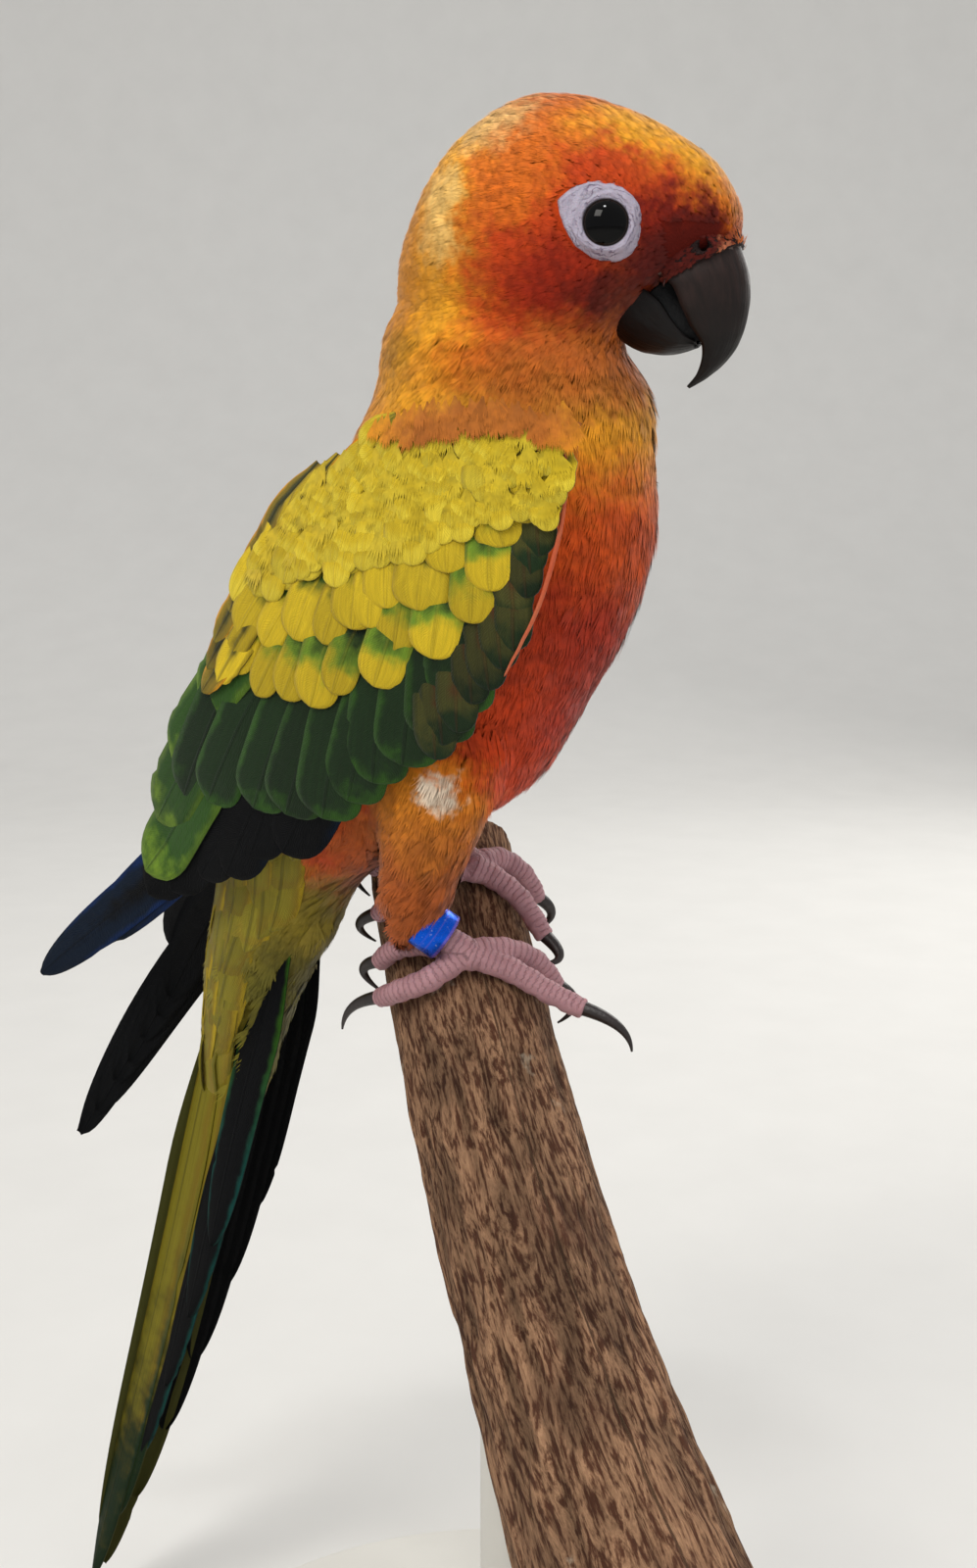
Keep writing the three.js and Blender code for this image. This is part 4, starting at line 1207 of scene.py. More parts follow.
def feathered_wing(side, plane, finishes, grow, seed):
    """Arm, leading edge, rows of vanes, lesser coverts and soft feathers of a wing"""
    random = np.random.default_rng(seed)
    pieces = [arm_skin(f"wing_{side}_arm", plane, finishes["arm"]),
              wing_edge(f"wing_{side}_edge", plane, finishes["edge"])]
    for name, row in WING_ROWS.items():
        vanes = Vanes()
        feathered_row(vanes, plane, row, random)
        pieces.append(vanes.piece(f"wing_{side}_{name}", finishes[name]))
    vanes = Vanes()
    small_coverts(vanes, plane, random)
    pieces.append(vanes.piece(f"wing_{side}_lesser", finishes["lesser"]))
    soft, draped = (covert_roots(plane, random, look) for look in (SOFT_COVERTS, NECK_DRAPE))
    pieces.append(grow(f"wing_{side}_down", finishes["down"], soft, seed))
    pieces.append(grow(f"coat_shoulder_{side}", finishes["coat"], draped, seed + 1))
    for piece in pieces:
        settle(piece, "plumage_green", f"wing_{side}")


# Feathers of the back, rump and tail root, laid over the skin

def body_vane(vanes, surface, place, normal, way, length, width, lift, random):
    """A feather that follows the skin from its root and leaves it where the skin turns off"""
    rows, columns, round_from, notch, sink, curve = BACK_LOOK
    along, side, across = leaf(rows, columns, round_from, notch, random)
    steps = np.diff(along[:, 0], prepend=0.0) * length
    way = unit(way)
    here, up, lie = np.array(place), np.array(normal), way
    on_skin = True
    top = np.empty((rows, columns, 3))
    for row in range(rows):
        if on_skin:
            slope = up @ way
            up = unit(up - way * (slope - np.clip(slope, -0.4, 0.4)))
            lie = unit(way - up * (way @ up))
        here = here + lie * steps[row]
        found, found_up = surface.nearest(here)
        on_skin = on_skin and np.linalg.norm(found - here) < 1.2 and found_up @ way < 0.6
        if on_skin:
            here, up = found, unit(lerp(up, found_up, 0.5))
        left = np.cross(up, lie)
        rise = lerp(sink, lift, min(1.0, along[row, 0] / 0.5))
        lower = 0.12 * width * across[row] ** 2
        top[row] = (here + up * (rise - lower)[:, None]
                    + left * (side[row] * width / 2 + curve * length * along[row, 0])[:, None])
    vanes.add(top, up, along, across, random.random(), (length, width))


def wrapped_rows(vanes, surface, row, random):
    """Rows of feathers round the back of the body, from the top row down"""
    heights, degrees, lengths, widths, lift, way = row
    heights, degrees = np.arange(*heights), np.arange(*degrees)
    rows = through(TRUNK, 60)
    centre = (rows[:, :2] + rows[:, 2:4]) / 2
    order = np.argsort(centre[:, 1])
    for line, height in enumerate(heights):
        share = line / (len(heights) - 1)
        middle = np.interp(height, centre[order, 1], centre[order, 0])
        stagger = (line % 2) * (degrees[1] - degrees[0]) / 2
        for turn in np.radians(degrees + stagger):
            way_in = np.array([math.cos(turn), -math.sin(turn), 0.0])
            start = np.array([middle, 0.0, height + random.normal(0.0, 0.6)]) - way_in * 70.0
            hit, up = surface.tree.ray_cast(Vector(start), Vector(way_in))[:2]
            if hit is None:
                continue
            length = lerp(*lengths, share) * (1.0 + random.normal(0.0, 0.06))
            width = lerp(*widths, share) * (1.0 + random.normal(0.0, 0.05))
            lie = np.array(way) + random.normal(0.0, 0.05, 3)
            body_vane(vanes, surface, hit, up, lie, length, width, lift, random)


# Rows round the back: heights and degrees round as first, end and step, lengths and widths from
# the top row to the last, lift, and the way the feathers lie
BACK_ROWS = {
    "mantle": ((79.6, 30.0, -4.2), (-52, 53, 11.5), (9, 16), (4.6, 6.6), 1.3, (-0.45, 0, -0.9)),
    "rump": ((29.0, -3.0, -4.6), (-72, 73, 18), (14, 21), (6.6, 7.6), 1.3, (-0.35, 0, -0.95)),
    "tail_coverts": ((-3.0, -8.0, -4.4), (-60, 61, 24), (17, 21), (7, 7.6), 1.1, (-0.26, 0, -0.97)),
}
BACK_LOOK = (12, 8, 0.6, 0.12, -0.8, 0.0)  # as in WING_ROWS


def feathered_back(surface, finishes):
    """Mantle, rump and tail coverts"""
    random = np.random.default_rng(SEED + 9)
    for name, row in BACK_ROWS.items():
        vanes = Vanes()
        wrapped_rows(vanes, surface, row, random)
        settle(vanes.piece(f"feathers_{name}", finishes[name]), "plumage_green")


# Tail, from its middle feather to its outermost

TAIL_ROOTS = np.array([(-44.6, 1.6, 2), (-33.6, 5, 4)], float)
TAIL_TIPS = np.array([(-77, 1.4, -119.6), (-61.6, 4, -85), (-48, 6.6, -50)], float)
TAIL_WIDTHS = (11, 9)
TAIL_SLANTS = (34, 18)  # degrees between a vane's face and the tail's side
TAIL_FEATHERS = 6  # on each side
TAIL_MIDDLE = 2  # of them in the middle piece
TAIL_LOOK = (44, 9, 0.6, 0.06)  # rows, columns, where the tip rounds, notches
TAIL_TAPER = 0.72


def tail_vane(vanes, share, side, random):
    """A tail feather, share 0 for the longest in the middle and 1 for the outermost"""
    start, middle, last = TAIL_TIPS
    tip = quadratic(start, 2 * middle - (start + last) / 2, last, share)
    root = lerp(TAIL_ROOTS[0], TAIL_ROOTS[1], share)
    axis = unit(tip - root)
    slant = math.radians(lerp(*TAIL_SLANTS, share))
    forward = unit(np.array([1.0, 0, 0]) - axis * axis[0])
    outward_way = unit(np.array([0, 1.0, 0]) - axis * axis[1])
    across_way = forward * math.cos(slant) + outward_way * math.sin(slant)
    up = unit(np.cross(across_way, axis))
    if up[1] < 0:
        up = -up
    along, half, across = leaf(*TAIL_LOOK, random)
    width = lerp(*TAIL_WIDTHS, share)
    narrow = lerp(1.0, TAIL_TAPER, along)
    reach = half * narrow * width / 2
    arch = 0.05 * width * (1.0 - across**2)
    sweep = 1.4 * np.sin(math.pi * along)
    top = (lerp(root, tip, along[..., None]) + reach[..., None] * across_way
           + arch[..., None] * up + sweep[..., None] * forward * (0.6 - share))
    if side < 0:
        top, up = mirrored(top), mirrored(up)
    length = np.linalg.norm(tip - root)
    vanes.add(top, up, along, across, random.random(), (length, width))


def feathered_tail(finishes):
    """Tail feathers of both sides, in a middle piece and an outer one"""
    random = np.random.default_rng(SEED + 5)
    middle, outer = Vanes(), Vanes()
    for side in (1, -1):
        for count in range(TAIL_FEATHERS):
            share = count / (TAIL_FEATHERS - 1)
            tail_vane(middle if count < TAIL_MIDDLE else outer, share, side, random)
    settle(middle.piece("tail_middle", finishes["tail_middle"]), "plumage_tail", "tail")
    settle(outer.piece("tail_outer", finishes["tail_outer"]), "plumage_tail", "tail")


# Feathers' finish

BARB_GAP = 0.42  # mm


def feather_detail():
    """Barbs, shaft and edge of a feather from its map and its size in mm"""
    tree, shader, start, end = new_group(
        "feather detail",
        [("Across", "NodeSocketFloat", None), ("Along", "NodeSocketFloat", None),
         ("Span", "NodeSocketFloat", None), ("Breadth", "NodeSocketFloat", None)],
        [("Relief", "NodeSocketFloat"), ("Shaft", "NodeSocketFloat"), ("Rim", "NodeSocketFloat")],
    )
    off_middle = shader.math("SUBTRACT", start["Across"], 0.5)
    side = shader.times(shader.math("ABSOLUTE", off_middle), 2.0)
    far = shader.times(side, shader.times(start["Breadth"], 0.5))
    down = shader.times(start["Along"], start["Span"])
    slanted = shader.math("SUBTRACT", down, shader.times(far, 1.15))
    wander = shader.noise(shader.together(down, far, start["Span"]), 0.5, 2.0)
    slanted = shader.math("MULTIPLY_ADD", wander, 1.6, slanted)
    barbs = shader.math("SINE", shader.times(slanted, 2 * math.pi / BARB_GAP))
    shaft = shader.ramp(far, 0.12, 0.34, 1.0, 0.0)
    relief = shader.math("MULTIPLY_ADD", barbs, 0.16, shader.times(shaft, 0.9))
    shader.feed(end["Relief"], relief)
    shader.feed(end["Shaft"], shaft)
    shader.feed(end["Rim"], side)
    return tree


# Looks of vanes: body colour, middle, tip and what differs from VANE_LOOK

# Shares are of the vane's length or half width. The middle runs to middle_to and fills
# middle_half, the tip's colour starts at tip_from and is full tip_over further, the rim's colour
# turns to rim_far along the vane, and vary is how much single feathers differ in shade
# below, the undersides' colour, is partly the feathers' own and partly painted shade
VANE_LOOK = dict(
    rim_share=0.5, tip_from=0.75, tip_over=0.2, middle_to=0.7, middle_half=0.35, below="night",
    shaft_share=0.4, vary=0.4, specular=0.2, sheen=0.06, roughness=0.6,
)
VANE_LOOKS = {
    "scapulars": ("yellow", "dark_olive", "yellow", dict(
        middle_half=0.02, middle_to=0.75, tip_from=0.8, rim="mustard", rim_share=0.6, vary=0.5)),
    "upper_scapulars": ("mustard", "dark_olive", "olive", dict(
        middle_half=0.1, middle_to=0.85, tip_from=0.86, rim="gold", rim_share=0.6, shaft="night",
        vary=0.5)),
    "top_median": ("yellow", "olive", "lemon", dict(
        middle_to=0.4, tip_from=0.6, rim="yellow", shaft="yellow", vary=0.35)),
    "upper_median": ("yellow", "leaf", "yellow", dict(
        middle_to=0.5, tip_from=0.62, rim="mustard", rim_share=0.3, shaft="yellow", vary=0.35)),
    "median": ("lime", "dark_leaf", "yellow", dict(
        middle_to=0.55, tip_from=0.6, rim="mustard", rim_share=0.3, shaft="olive",
        shaft_share=0.2, vary=0.35)),
    "lesser": ("yellow", "olive", "lemon", dict(
        middle_to=0.4, tip_from=0.6, rim="yellow", shaft="yellow", roughness=0.65, vary=0.35)),
    "marginal": ("dark_olive", "maroon", "dark_leaf", dict(
        middle_half=0.0, middle_to=0.6, shaft_share=0.15, vary=0.6)),
    "greater": ("dark_leaf", "dark_leaf", "leaf", dict(
        middle_to=0.6, tip_from=0.88, rim_share=0.9, shaft="night", shaft_share=0.25, vary=0.5)),
    "tertials": ("leaf", "leaf", "lime", dict(
        middle_to=0.8, tip_from=0.84, shaft="dark_leaf")),
    "secondaries": ("night", "night", "night", dict(
        rim="deep_blue", rim_share=0.8, specular=0.1, sheen=0.0)),
    "primaries": ("deep_blue", "night", "deep_blue", dict(
        middle_half=0.1, rim="blue", rim_share=0.9, specular=0.12, sheen=0.0)),
    "mantle": ("gold", "dark_olive", "yellow", dict(
        middle_half=0.02, tip_from=0.8, rim="gold", rim_share=0.8, below="mustard")),
    "rump": ("mustard", "olive", "olive", dict(
        middle_to=0.8, tip_from=0.8, rim="yellow", shaft="dark_olive", below="olive")),
    "tail_coverts": ("mustard", "olive", "mustard", dict(
        tip_from=0.85, rim="leaf", rim_share=0.4, shaft="dark_olive", below="olive")),
    "tail_middle": ("mustard", "olive", "dark_leaf", dict(
        tip_from=0.45, tip_over=0.45, rim="olive", rim_far="teal", rim_share=0.9,
        shaft="dark_olive", below="dark_olive", specular=0.1, sheen=0.0, vary=0.25)),
    "tail_outer": ("night", "night", "night", dict(
        middle_half=0.1, tip_from=0.9, rim="leaf", rim_far="teal", rim_share=1.0,
        specular=0.08, sheen=0.0, vary=0.3)),
}


def vane_material(name, detail):
    """Finish of vanes by their look: body, darker middle, shaft, paler rim and tip, dark below, partly as
    painted shade
    """
    body, middle, tip, own = VANE_LOOKS[name]
    look = {"rim": tip, "shaft": middle, **VANE_LOOK, **own}
    shader = Finish(name.replace("_", " "), roughness=look["roughness"], specular=look["specular"],
                    Sheen_Weight=look["sheen"], Sheen_Roughness=0.4)
    flat = shader.node("ShaderNodeUVMap", uv_map="Vane").outputs[0]
    across, along, _ = shader.apart(flat)
    span, breadth = shader.attribute("span"), shader.attribute("breadth")
    facts = shader.group(detail, Across=across, Along=along, Span=span, Breadth=breadth)
    ragged = shader.math("MULTIPLY_ADD", shader.noise(shader.objects(), 260.0, 3.0), 0.5, -0.25)
    edge = shader.math("ADD", facts["Rim"], ragged)
    reach = shader.math("ADD", along, ragged)
    middle_half, middle_to, tip_from = look["middle_half"], look["middle_to"], look["tip_from"]
    centre = shader.ramp(edge, middle_half, middle_half + 0.5, 1.0, 0.0)
    end = shader.ramp(reach, middle_to - 0.12, middle_to + 0.14, 1.0, 0.0)
    colour = shader.mix(shader.times(centre, end), body, middle)
    rim_far = look.get("rim_far", look["rim"])
    rim = shader.mix(shader.ramp(along, 0.25, 0.8), look["rim"], rim_far)
    colour = shader.mix(shader.ramp(edge, 0.72, 1.0, 0.0, look["rim_share"]), colour, rim)
    colour = shader.mix(shader.ramp(reach, tip_from, tip_from + look["tip_over"]), colour, tip)
    shaft = shader.times(facts["Shaft"], look["shaft_share"])
    colour = shader.mix(shaft, colour, look["shaft"])
    shade = shader.math("MULTIPLY_ADD", shader.attribute("tone"), look["vary"], 1.0 - look["vary"] / 2)
    streak = shader.noise(shader.together(
        shader.times(across, 26.0), shader.times(along, 3.0),
        shader.times(span, 1.7)), 1.0, 3.0)
    shade = shader.times(shade, shader.ramp(streak, 0.2, 0.8, 0.82, 1.16))
    colour = shader.shaded(colour, shade)
    # Undersides in the look's below colour: partly the feathers' own darker underside, partly painted
    # shade, near-black even under yellow coverts
    colour = shader.mix(shader.attribute("under"), colour, look["below"])
    return shader.done(colour, shader.bump(facts["Relief"], 0.00018, 0.8))


def plain_material(name, first, second):
    """Matt finish blotched with two colours"""
    shader = Finish(name, roughness=0.7)
    place = shader.objects()
    colour = shader.mix(shader.noise(place, 300.0), first, second)
    return shader.done(colour, shader.bump(shader.noise(place, 900.0), 0.0002))


# Head: bill, cere, eyes and their bare rings

UPPER_BILL = [
    (34.6, 105.2, 23.2, 100.4, 5.8), (35.8, 101.6, 25.4, 98.9, 5.9), (36.1, 98, 26.6, 96.6, 5.4),
    (35.7, 94.9, 27.8, 94.3, 4.6), (34.7, 92, 29.6, 91.9, 3.4), (32.9, 89.5, 29.7, 89.9, 2.3),
    (30.6, 87.6, 29, 88, 1.2), (27.9, 86.1, 27.6, 86.4, 0.35),
]
CERE = [(32.6, 110.4, 24.4, 105.6, 4.9), (34.1, 108, 24.0, 103.2, 5.8), (35.1, 105, 24.4, 99.4, 6.2)]
LOWER_BILL = [
    (15.6, 94.6, 21.6, 100.9, 5.1), (17.6, 93.2, 23.2, 99.9, 5.2), (20, 91.6, 25.2, 98.2, 5.2),
    (23, 90.8, 26.6, 95.6, 4.7), (26, 90.8, 28, 93.4, 3.8), (28.6, 91.5, 29.2, 92.4, 2.2),
]
NOSTRIL = np.array([30.9, 5.6, 104.5])
NOSTRIL_RADIUS = 0.95
NOSTRIL_DEPTH = 1.5
HOLLOW = 0.78  # width of the bill's inner side as a share of the outer


def bill_rings(stations, count, sides):
    """Rings with a round back over the ridge and a hollow side at the cutting edge"""
    rows = through(stations, count)
    turn = np.linspace(0.0, math.pi, sides)
    rings = []
    for ridge_x, ridge_z, edge_x, edge_z, half in rows:
        ridge, edge = np.array([ridge_x, 0.0, ridge_z]), np.array([edge_x, 0.0, edge_z])
        rise = (0.12 + 0.88 * np.sin(turn) ** 0.8)[:, None]
        outer = edge + (ridge - edge) * rise
        outer[:, 1] += half * np.cos(turn)
        inner_turn = turn[::-1][1:-1]
        inner = edge + (ridge - edge) * (0.10 + 0.5 * np.sin(inner_turn) ** 1.4)[:, None]
        inner[:, 1] += HOLLOW * half * np.cos(inner_turn)
        rings.append(np.concatenate([outer, inner]))
    return np.array(rings)


def bill_piece(name, stations, material, node):
    """Horn with growth lines and flakes along it, mapped across and along"""
    count, sides = 90, 49
    rings = bill_rings(stations, count, sides)
    points, faces = closed_rings(rings)
    piece = outward(new_piece(name, points, faces, material))
    around = rings.shape[1]
    row, column = np.divmod(np.arange(len(points)), around)
    map_points = np.column_stack([column / around, np.minimum(row / count, 1.0)])
    grain = smooth_noise(np.column_stack([map_points[:, 0] * 46, map_points[:, 1] * 5, row * 0]), 3)
    bumps = smooth_noise(points * 0.8, 8)
    outer = smoothstep(0.0, 0.06, map_points[:, 0]) * (column < sides)
    shift = (0.035 * grain + 0.05 * bumps) * outer
    move_points(piece, points + normals_of(piece) * shift[:, None])
    store_map(piece.data, "Bill", map_points)
    return settle(piece, "bill_horn", node)


def horn_material(name, dark, pale, pale_to):
    """Dark horn with fine lines along it, paler up to a share of its length, flaked at the root"""
    shader = Finish(name, specular=0.25)
    across, along, _ = shader.apart(shader.node("ShaderNodeUVMap", uv_map="Bill").outputs[0])
    place = shader.objects()
    streak = shader.noise(shader.together(shader.times(across, 60.0),
                                          shader.times(along, 5.0), 0.0), 1.0, 4.0)
    blotch = shader.noise(place, 260.0, 4.0)
    height = shader.math("ADD", streak, shader.times(blotch, 0.6))
    paler = shader.ramp(shader.math("MULTIPLY_ADD", blotch, 0.5, along), 0.2, pale_to, 1.0, 0.0)
    colour = shader.mix(shader.times(paler, shader.ramp(streak, 0.3, 0.7, 0.35, 1.0)),
                        dark, pale)
    flakes = shader.ramp(shader.math("MULTIPLY_ADD", shader.noise(place, 900.0), 0.08, along),
                         0.06, 0.075, 0.6, 0.0)
    colour = shader.mix(flakes, colour, (0.50, 0.42, 0.38))
    return shader.done(colour, shader.bump(height, 0.0002, 0.6),
                       rough=shader.ramp(height, 0.3, 1.2, 0.38, 0.6))


def cere_piece(material):
    """Bare skin over the root of the bill, with an open nostril on each side"""
    rings = bill_rings(CERE, 60, 90)
    points, faces = closed_rings(rings)
    piece = outward(new_piece("cere_skin", points, faces, material))
    points, normals = points_of(piece), normals_of(piece)
    for nostril in (NOSTRIL, mirrored(NOSTRIL)):
        away = np.linalg.norm((points - nostril) * [1.0, 0.6, 1.0], axis=1)
        pit = 1.0 - smoothstep(0.45 * NOSTRIL_RADIUS, NOSTRIL_RADIUS, away)
        brim = np.exp(-((away - 1.35 * NOSTRIL_RADIUS) / 0.4) ** 2)
        points = points + normals * (0.22 * brim - NOSTRIL_DEPTH * pit)[:, None]
    points = points + normals * (0.08 * smooth_noise(points * 1.6, 4))[:, None]
    move_points(piece, points)
    return settle(piece, "cere_skin", "cere")


def wrinkled_skin(name, first, second, scale):
    """Bare skin with small scales and creases between them, the creases darkened as painted shade"""
    shader = Finish(name, roughness=0.7, Subsurface_Weight=0.08, Subsurface_Scale=0.001)
    place = shader.objects()
    edge = shader.cells(place, scale)
    crease = shader.ramp(edge, 0.0, 0.16, 1.0, 0.0)
    tint = shader.noise(place, scale * 0.22, 3.0)
    colour = shader.mix(tint, first, second)
    # Painted shade: the creases between the scales mixed halfway towards a darker tone
    dark = tuple(c * 0.35 for c in second)
    colour = shader.mix(shader.times(crease, 0.5), colour, dark)
    fine = shader.times(shader.noise(place, scale * 3.0), 0.3)
    height = shader.math("ADD", shader.ramp(edge, 0.0, 0.3), fine)
    return shader.done(colour, shader.bump(height, 0.0003, 0.8))


def eye_ring_material():
    """Bluish white bare skin, dark at the lid's margin, creased round the eye, with painted shade in the
    creases
    """
    shader = Finish("eye ring skin", specular=0.3, Subsurface_Weight=0.1, Subsurface_Scale=0.001)
    place = shader.objects()
    share = shader.attribute("share")
    tint = shader.noise(place, 700.0, 3.0)
    colour = shader.mix(tint, (0.76, 0.74, 0.80), (0.60, 0.55, 0.62))
    wavy = shader.math("MULTIPLY_ADD", shader.noise(place, 520.0, 4.0), 26.0,
                       shader.times(share, 22.0))
    low = shader.ramp(shader.noise(place, 330.0, 2.0), 0.4, 0.62)
    crease = shader.times(low, shader.ramp(shader.math("SINE", wavy), 0.5, 1.0, 0.0, 0.85))
    # Painted shade: the creases darkened towards grey violet
    colour = shader.mix(crease, colour, (0.42, 0.37, 0.46))
    colour = shader.mix(shader.ramp(share, 0.02, 0.10, 1.0, 0.0), colour, (0.10, 0.07, 0.08))
    colour = shader.mix(shader.ramp(share, 0.86, 1.0, 0.0, 0.7), colour, (0.55, 0.30, 0.26))
    height = shader.math("SUBTRACT", shader.cells(place, 2600.0), crease)
    return shader.done(colour, shader.bump(height, 0.0002, 0.7))


def eye_frame(side):
    """Centre, outward axis, forward and up axes of an eye, side 1 for left or -1 for right"""
    centre, axis = EYE_CENTRE * [1, side, 1], unit(GAZE * [1, side, 1])
    up = unit(np.array([0.0, 0.0, 1.0]) - axis * axis[2])
    forward = np.cross(up, axis) * side
    forward = forward if forward[0] > 0 else -forward
    return centre, axis, forward, up


def ball(centre, radius, axis, across, up, rows=48, sides=64):
    """Sphere with its pole on an axis, as closed rings"""
    polar = np.linspace(0.02, math.pi - 0.02, rows)
    turn = turns(sides)
    rings = (centre + radius * (np.cos(polar)[:, None, None] * axis
             + np.sin(polar)[:, None, None] * (np.cos(turn)[None, :, None] * across
                                               + np.sin(turn)[None, :, None] * up)))
    return closed_rings(rings)


def eye_piece(side, name, material):
    centre, axis, forward, up = eye_frame(side)
    points, faces = ball(centre, EYE_RADIUS, axis, forward, up)
    piece = outward(new_piece(f"eyeball_{name}", points, faces, material))
    return settle(piece, "eye", f"eye_{name}")


def eye_material(side, name):
    """Wide black pupil, narrow dark iris with fine spokes, with a glossy wet surface"""
    shader = Finish(f"eye {name}", roughness=0.04, specular=0.15)
    centre, axis, forward, up = eye_frame(side)
    offset = shader.vector("SUBTRACT", shader.objects(), tuple(placed(centre)))
    depth = shader.vector("DOT_PRODUCT", offset, tuple(axis))
    radial = shader.vector("SUBTRACT", offset, shader.scaled(tuple(axis), depth))
    radius = shader.times(shader.vector("LENGTH", radial), 1.0 / MM)
    spokes = shader.noise(shader.vector("NORMALIZE", radial), 9.0, 3.0)
    iris = shader.mix(spokes, (0.06, 0.04, 0.035), (0.16, 0.12, 0.10))
    colour = shader.mix(shader.ramp(radius, PUPIL_RADIUS - 0.08, PUPIL_RADIUS + 0.1),
                        (0.004, 0.004, 0.005), iris)
    colour = shader.mix(shader.ramp(radius, LID_OPENING - 0.2, LID_OPENING + 0.05), colour,
                        (0.03, 0.02, 0.02))
    return shader.done(colour)


ORBIT = [  # bare ring's reach in mm at degrees from forward, towards the top
    (0, 4.8), (45, 5.3), (90, 5.4), (125, 6.2), (156, 7.2), (175, 5.9), (195, 5.2), (225, 4.7),
    (270, 4.6), (315, 5.1), (360, 4.8),
]


def orbit_piece(side, name, surface, material):
    """Lids and the bare ring, from the lid's margin on the eye out over the skin"""
    centre, axis, forward, up = eye_frame(side)
    rows, sides = 26, 160
    turn = turns(sides)
    reach = read_line(ORBIT, np.degrees(turn))
    reach = reach + 0.12 * smooth_noise(np.column_stack([np.cos(turn), np.sin(turn), turn * 0]) * 6, 5)
    rim = math.sqrt(EYE_RADIUS**2 - LID_OPENING**2)
    rings = []
    for row in range(rows):
        share = row / (rows - 1)
        radius = lerp(LID_OPENING - 0.12, reach, share**0.85)
        ways = np.outer(np.cos(turn), forward) + np.outer(np.sin(turn), up)
        ring = []
        for place, far in zip(centre + ways * radius[:, None], radius):
            start = place + axis * 9.0
            hit = surface.tree.ray_cast(Vector(start), Vector(-axis))[0]
            ground = (np.array(hit) - centre) @ axis if hit is not None else 0.0
            lid = rim + 0.02 + 0.26 * math.sin(min(1.0, (far - LID_OPENING + 0.12) / 0.9) * math.pi / 2)
            settle_share = float(smoothstep(0.28, 1.0, share))
            height = lerp(lid, ground + 0.3 - 0.4 * share**6, settle_share)
            ring.append(place + axis * height)
        rings.append(ring)
    rings = np.array(rings)
    angle, share = turn[None, :], np.linspace(0, 1, rows)[:, None]
    folds = 0.07 * np.sin(share * 17.0 + 1.9 * np.sin(angle * 3.0) + 1.3 * np.sin(angle * 7.0 + 1.0))
    folds = folds * smoothstep(0.08, 0.25, share) * (1.0 - smoothstep(0.85, 1.0, share))
    rings = rings + folds[..., None] * axis
    points, faces = rings.reshape(-1, 3), grid_faces(rows, sides, around=True)
    piece = new_piece(f"eye_ring_{name}", points, faces, material)
    if np.mean(normals_of(piece) @ axis) < 0:
        piece.data.flip_normals()
    store(piece.data, "share", np.repeat(np.linspace(0, 1, rows), sides))
    return settle(piece, "cere_skin")


MOUTH = [(26.6, 102, 21.4, 97.4, 3.9), (28.6, 98.6, 23.6, 95, 3.8), (30, 95.6, 25.8, 92.9, 3.1),
         (30.6, 93.2, 28.2, 91.9, 1.5)]


def mouth_piece(material):
    """Dark tongue and mouth lining that close the line between the two bills; their near-black is partly
    the tongue's own colour and partly painted shade in the gape
    """
    points, faces = closed_rings(bill_rings(MOUTH, 30, 24))
    return settle(outward(new_piece("mouth_lining", points, faces, material)), "bill_horn")


# Legs, feet and leg ring

# The branch's axis, and how far along it in mm each foot grips. Toes as places on the branch: mm
# from the foot, degrees from the top towards the back, mm over the bark; then the claw's tip

PERCH_LINE = np.array([(-17.6, 20.3, 11.1), (11, -28.5, -31.2), (43.2, -62.3, -64.5)], float)
FAR_FOOT = 14.0
NEAR_FOOT = 31.0
SOLE = TOE_RADIUS + 0.15
RIGHT_TOES = [
    ([(0, 8, 0.4), (3, -16, 0.1), (6.5, -36, 1.2), (10, -48, 4.2)], (17, -61, 8)),
    ([(-0.4, 8, 0.4), (-1, -14, 0), (-0.4, -37, 0), (2, -58, 0)], (5, -78, -1.6)),
    ([(0, 12, 0.4), (2, 34, 0), (1, 56, 0.1), (-1.4, 77, 0.4)], (-2, 104, 5.6)),
    ([(-0.4, 12, 0.4), (-4, 30, 0), (-6.4, 52, 0), (-7.4, 73, 0)], (-5.6, 94, -1.4)),
]
LEFT_TOES = [
    ([(0, -6, 0.4), (1.5, -20, 0), (4.6, -37, 0.2), (10.4, -53, 0.6)], (15, -49, -1.2)),
    ([(-0.4, -6, 0.4), (-3, -26, 0), (-2.4, -48, 0), (-0.4, -68, 0)], (2, -88, -1.6)),
    ([(0, 0, 0.4), (2, 22, 0), (2.6, 44, 0), (1.4, 66, 0)], (2.4, 88, -1.4)),
    ([(-0.4, 0, 0.4), (-4.4, 20, 0), (-6.4, 42, 0), (-7.6, 64, 0)], (-6.6, 86, -1.4)),
]
RIGHT_ANKLE = np.array([-9.6, -12.2, 10.4])
LEFT_ANKLE = np.array([-14.4, 8.4, 21.6])


PALM_RADIUS = 2.44
SCUTE_LENGTH = 0.95
CLAW_BOW = (4.4, 3.2)  # how far a claw bows on from its toe and up from the bark


class Perch:
    """The branch's axis by true length, and places over its bark"""

    def __init__(self):
        self.axis = quadratic(*PERCH_LINE, np.linspace(0, 1, 801))
        steps = np.linalg.norm(np.diff(self.axis, axis=0), axis=1)
        self.travel = np.concatenate([[0.0], np.cumsum(steps)])
        self.length = self.travel[-1]

    def at(self, distance):
        return np.array([np.interp(distance, self.travel, self.axis[:, k]) for k in range(3)])

    def way(self, distance):
        return unit(self.at(min(distance + 0.5, self.length)) - self.at(max(distance - 0.5, 0.0)))

    def radius(self, distance):
        return PERCH_RADIUS + PERCH_FLARE * max(0.0, (distance / self.length - 0.45) / 0.55) ** 2

    def on(self, distance, degrees, height):
        """Place over the bark, in degrees from the top towards the back"""
        way = self.way(distance)
        top = unit(np.array([0.0, 0.0, 1.0]) - way * way[2])
        back = np.cross(way, top)
        turn = math.radians(degrees)
        reach = self.radius(distance) + height
        return self.at(distance) + reach * (math.cos(turn) * top + math.sin(turn) * back)


PERCH = Perch()


def grip(foot, place):
    """Where a toe's middle line lies over a place on the branch"""
    distance, degrees, rise = place
    return PERCH.on(foot + distance, degrees, SOLE + rise)


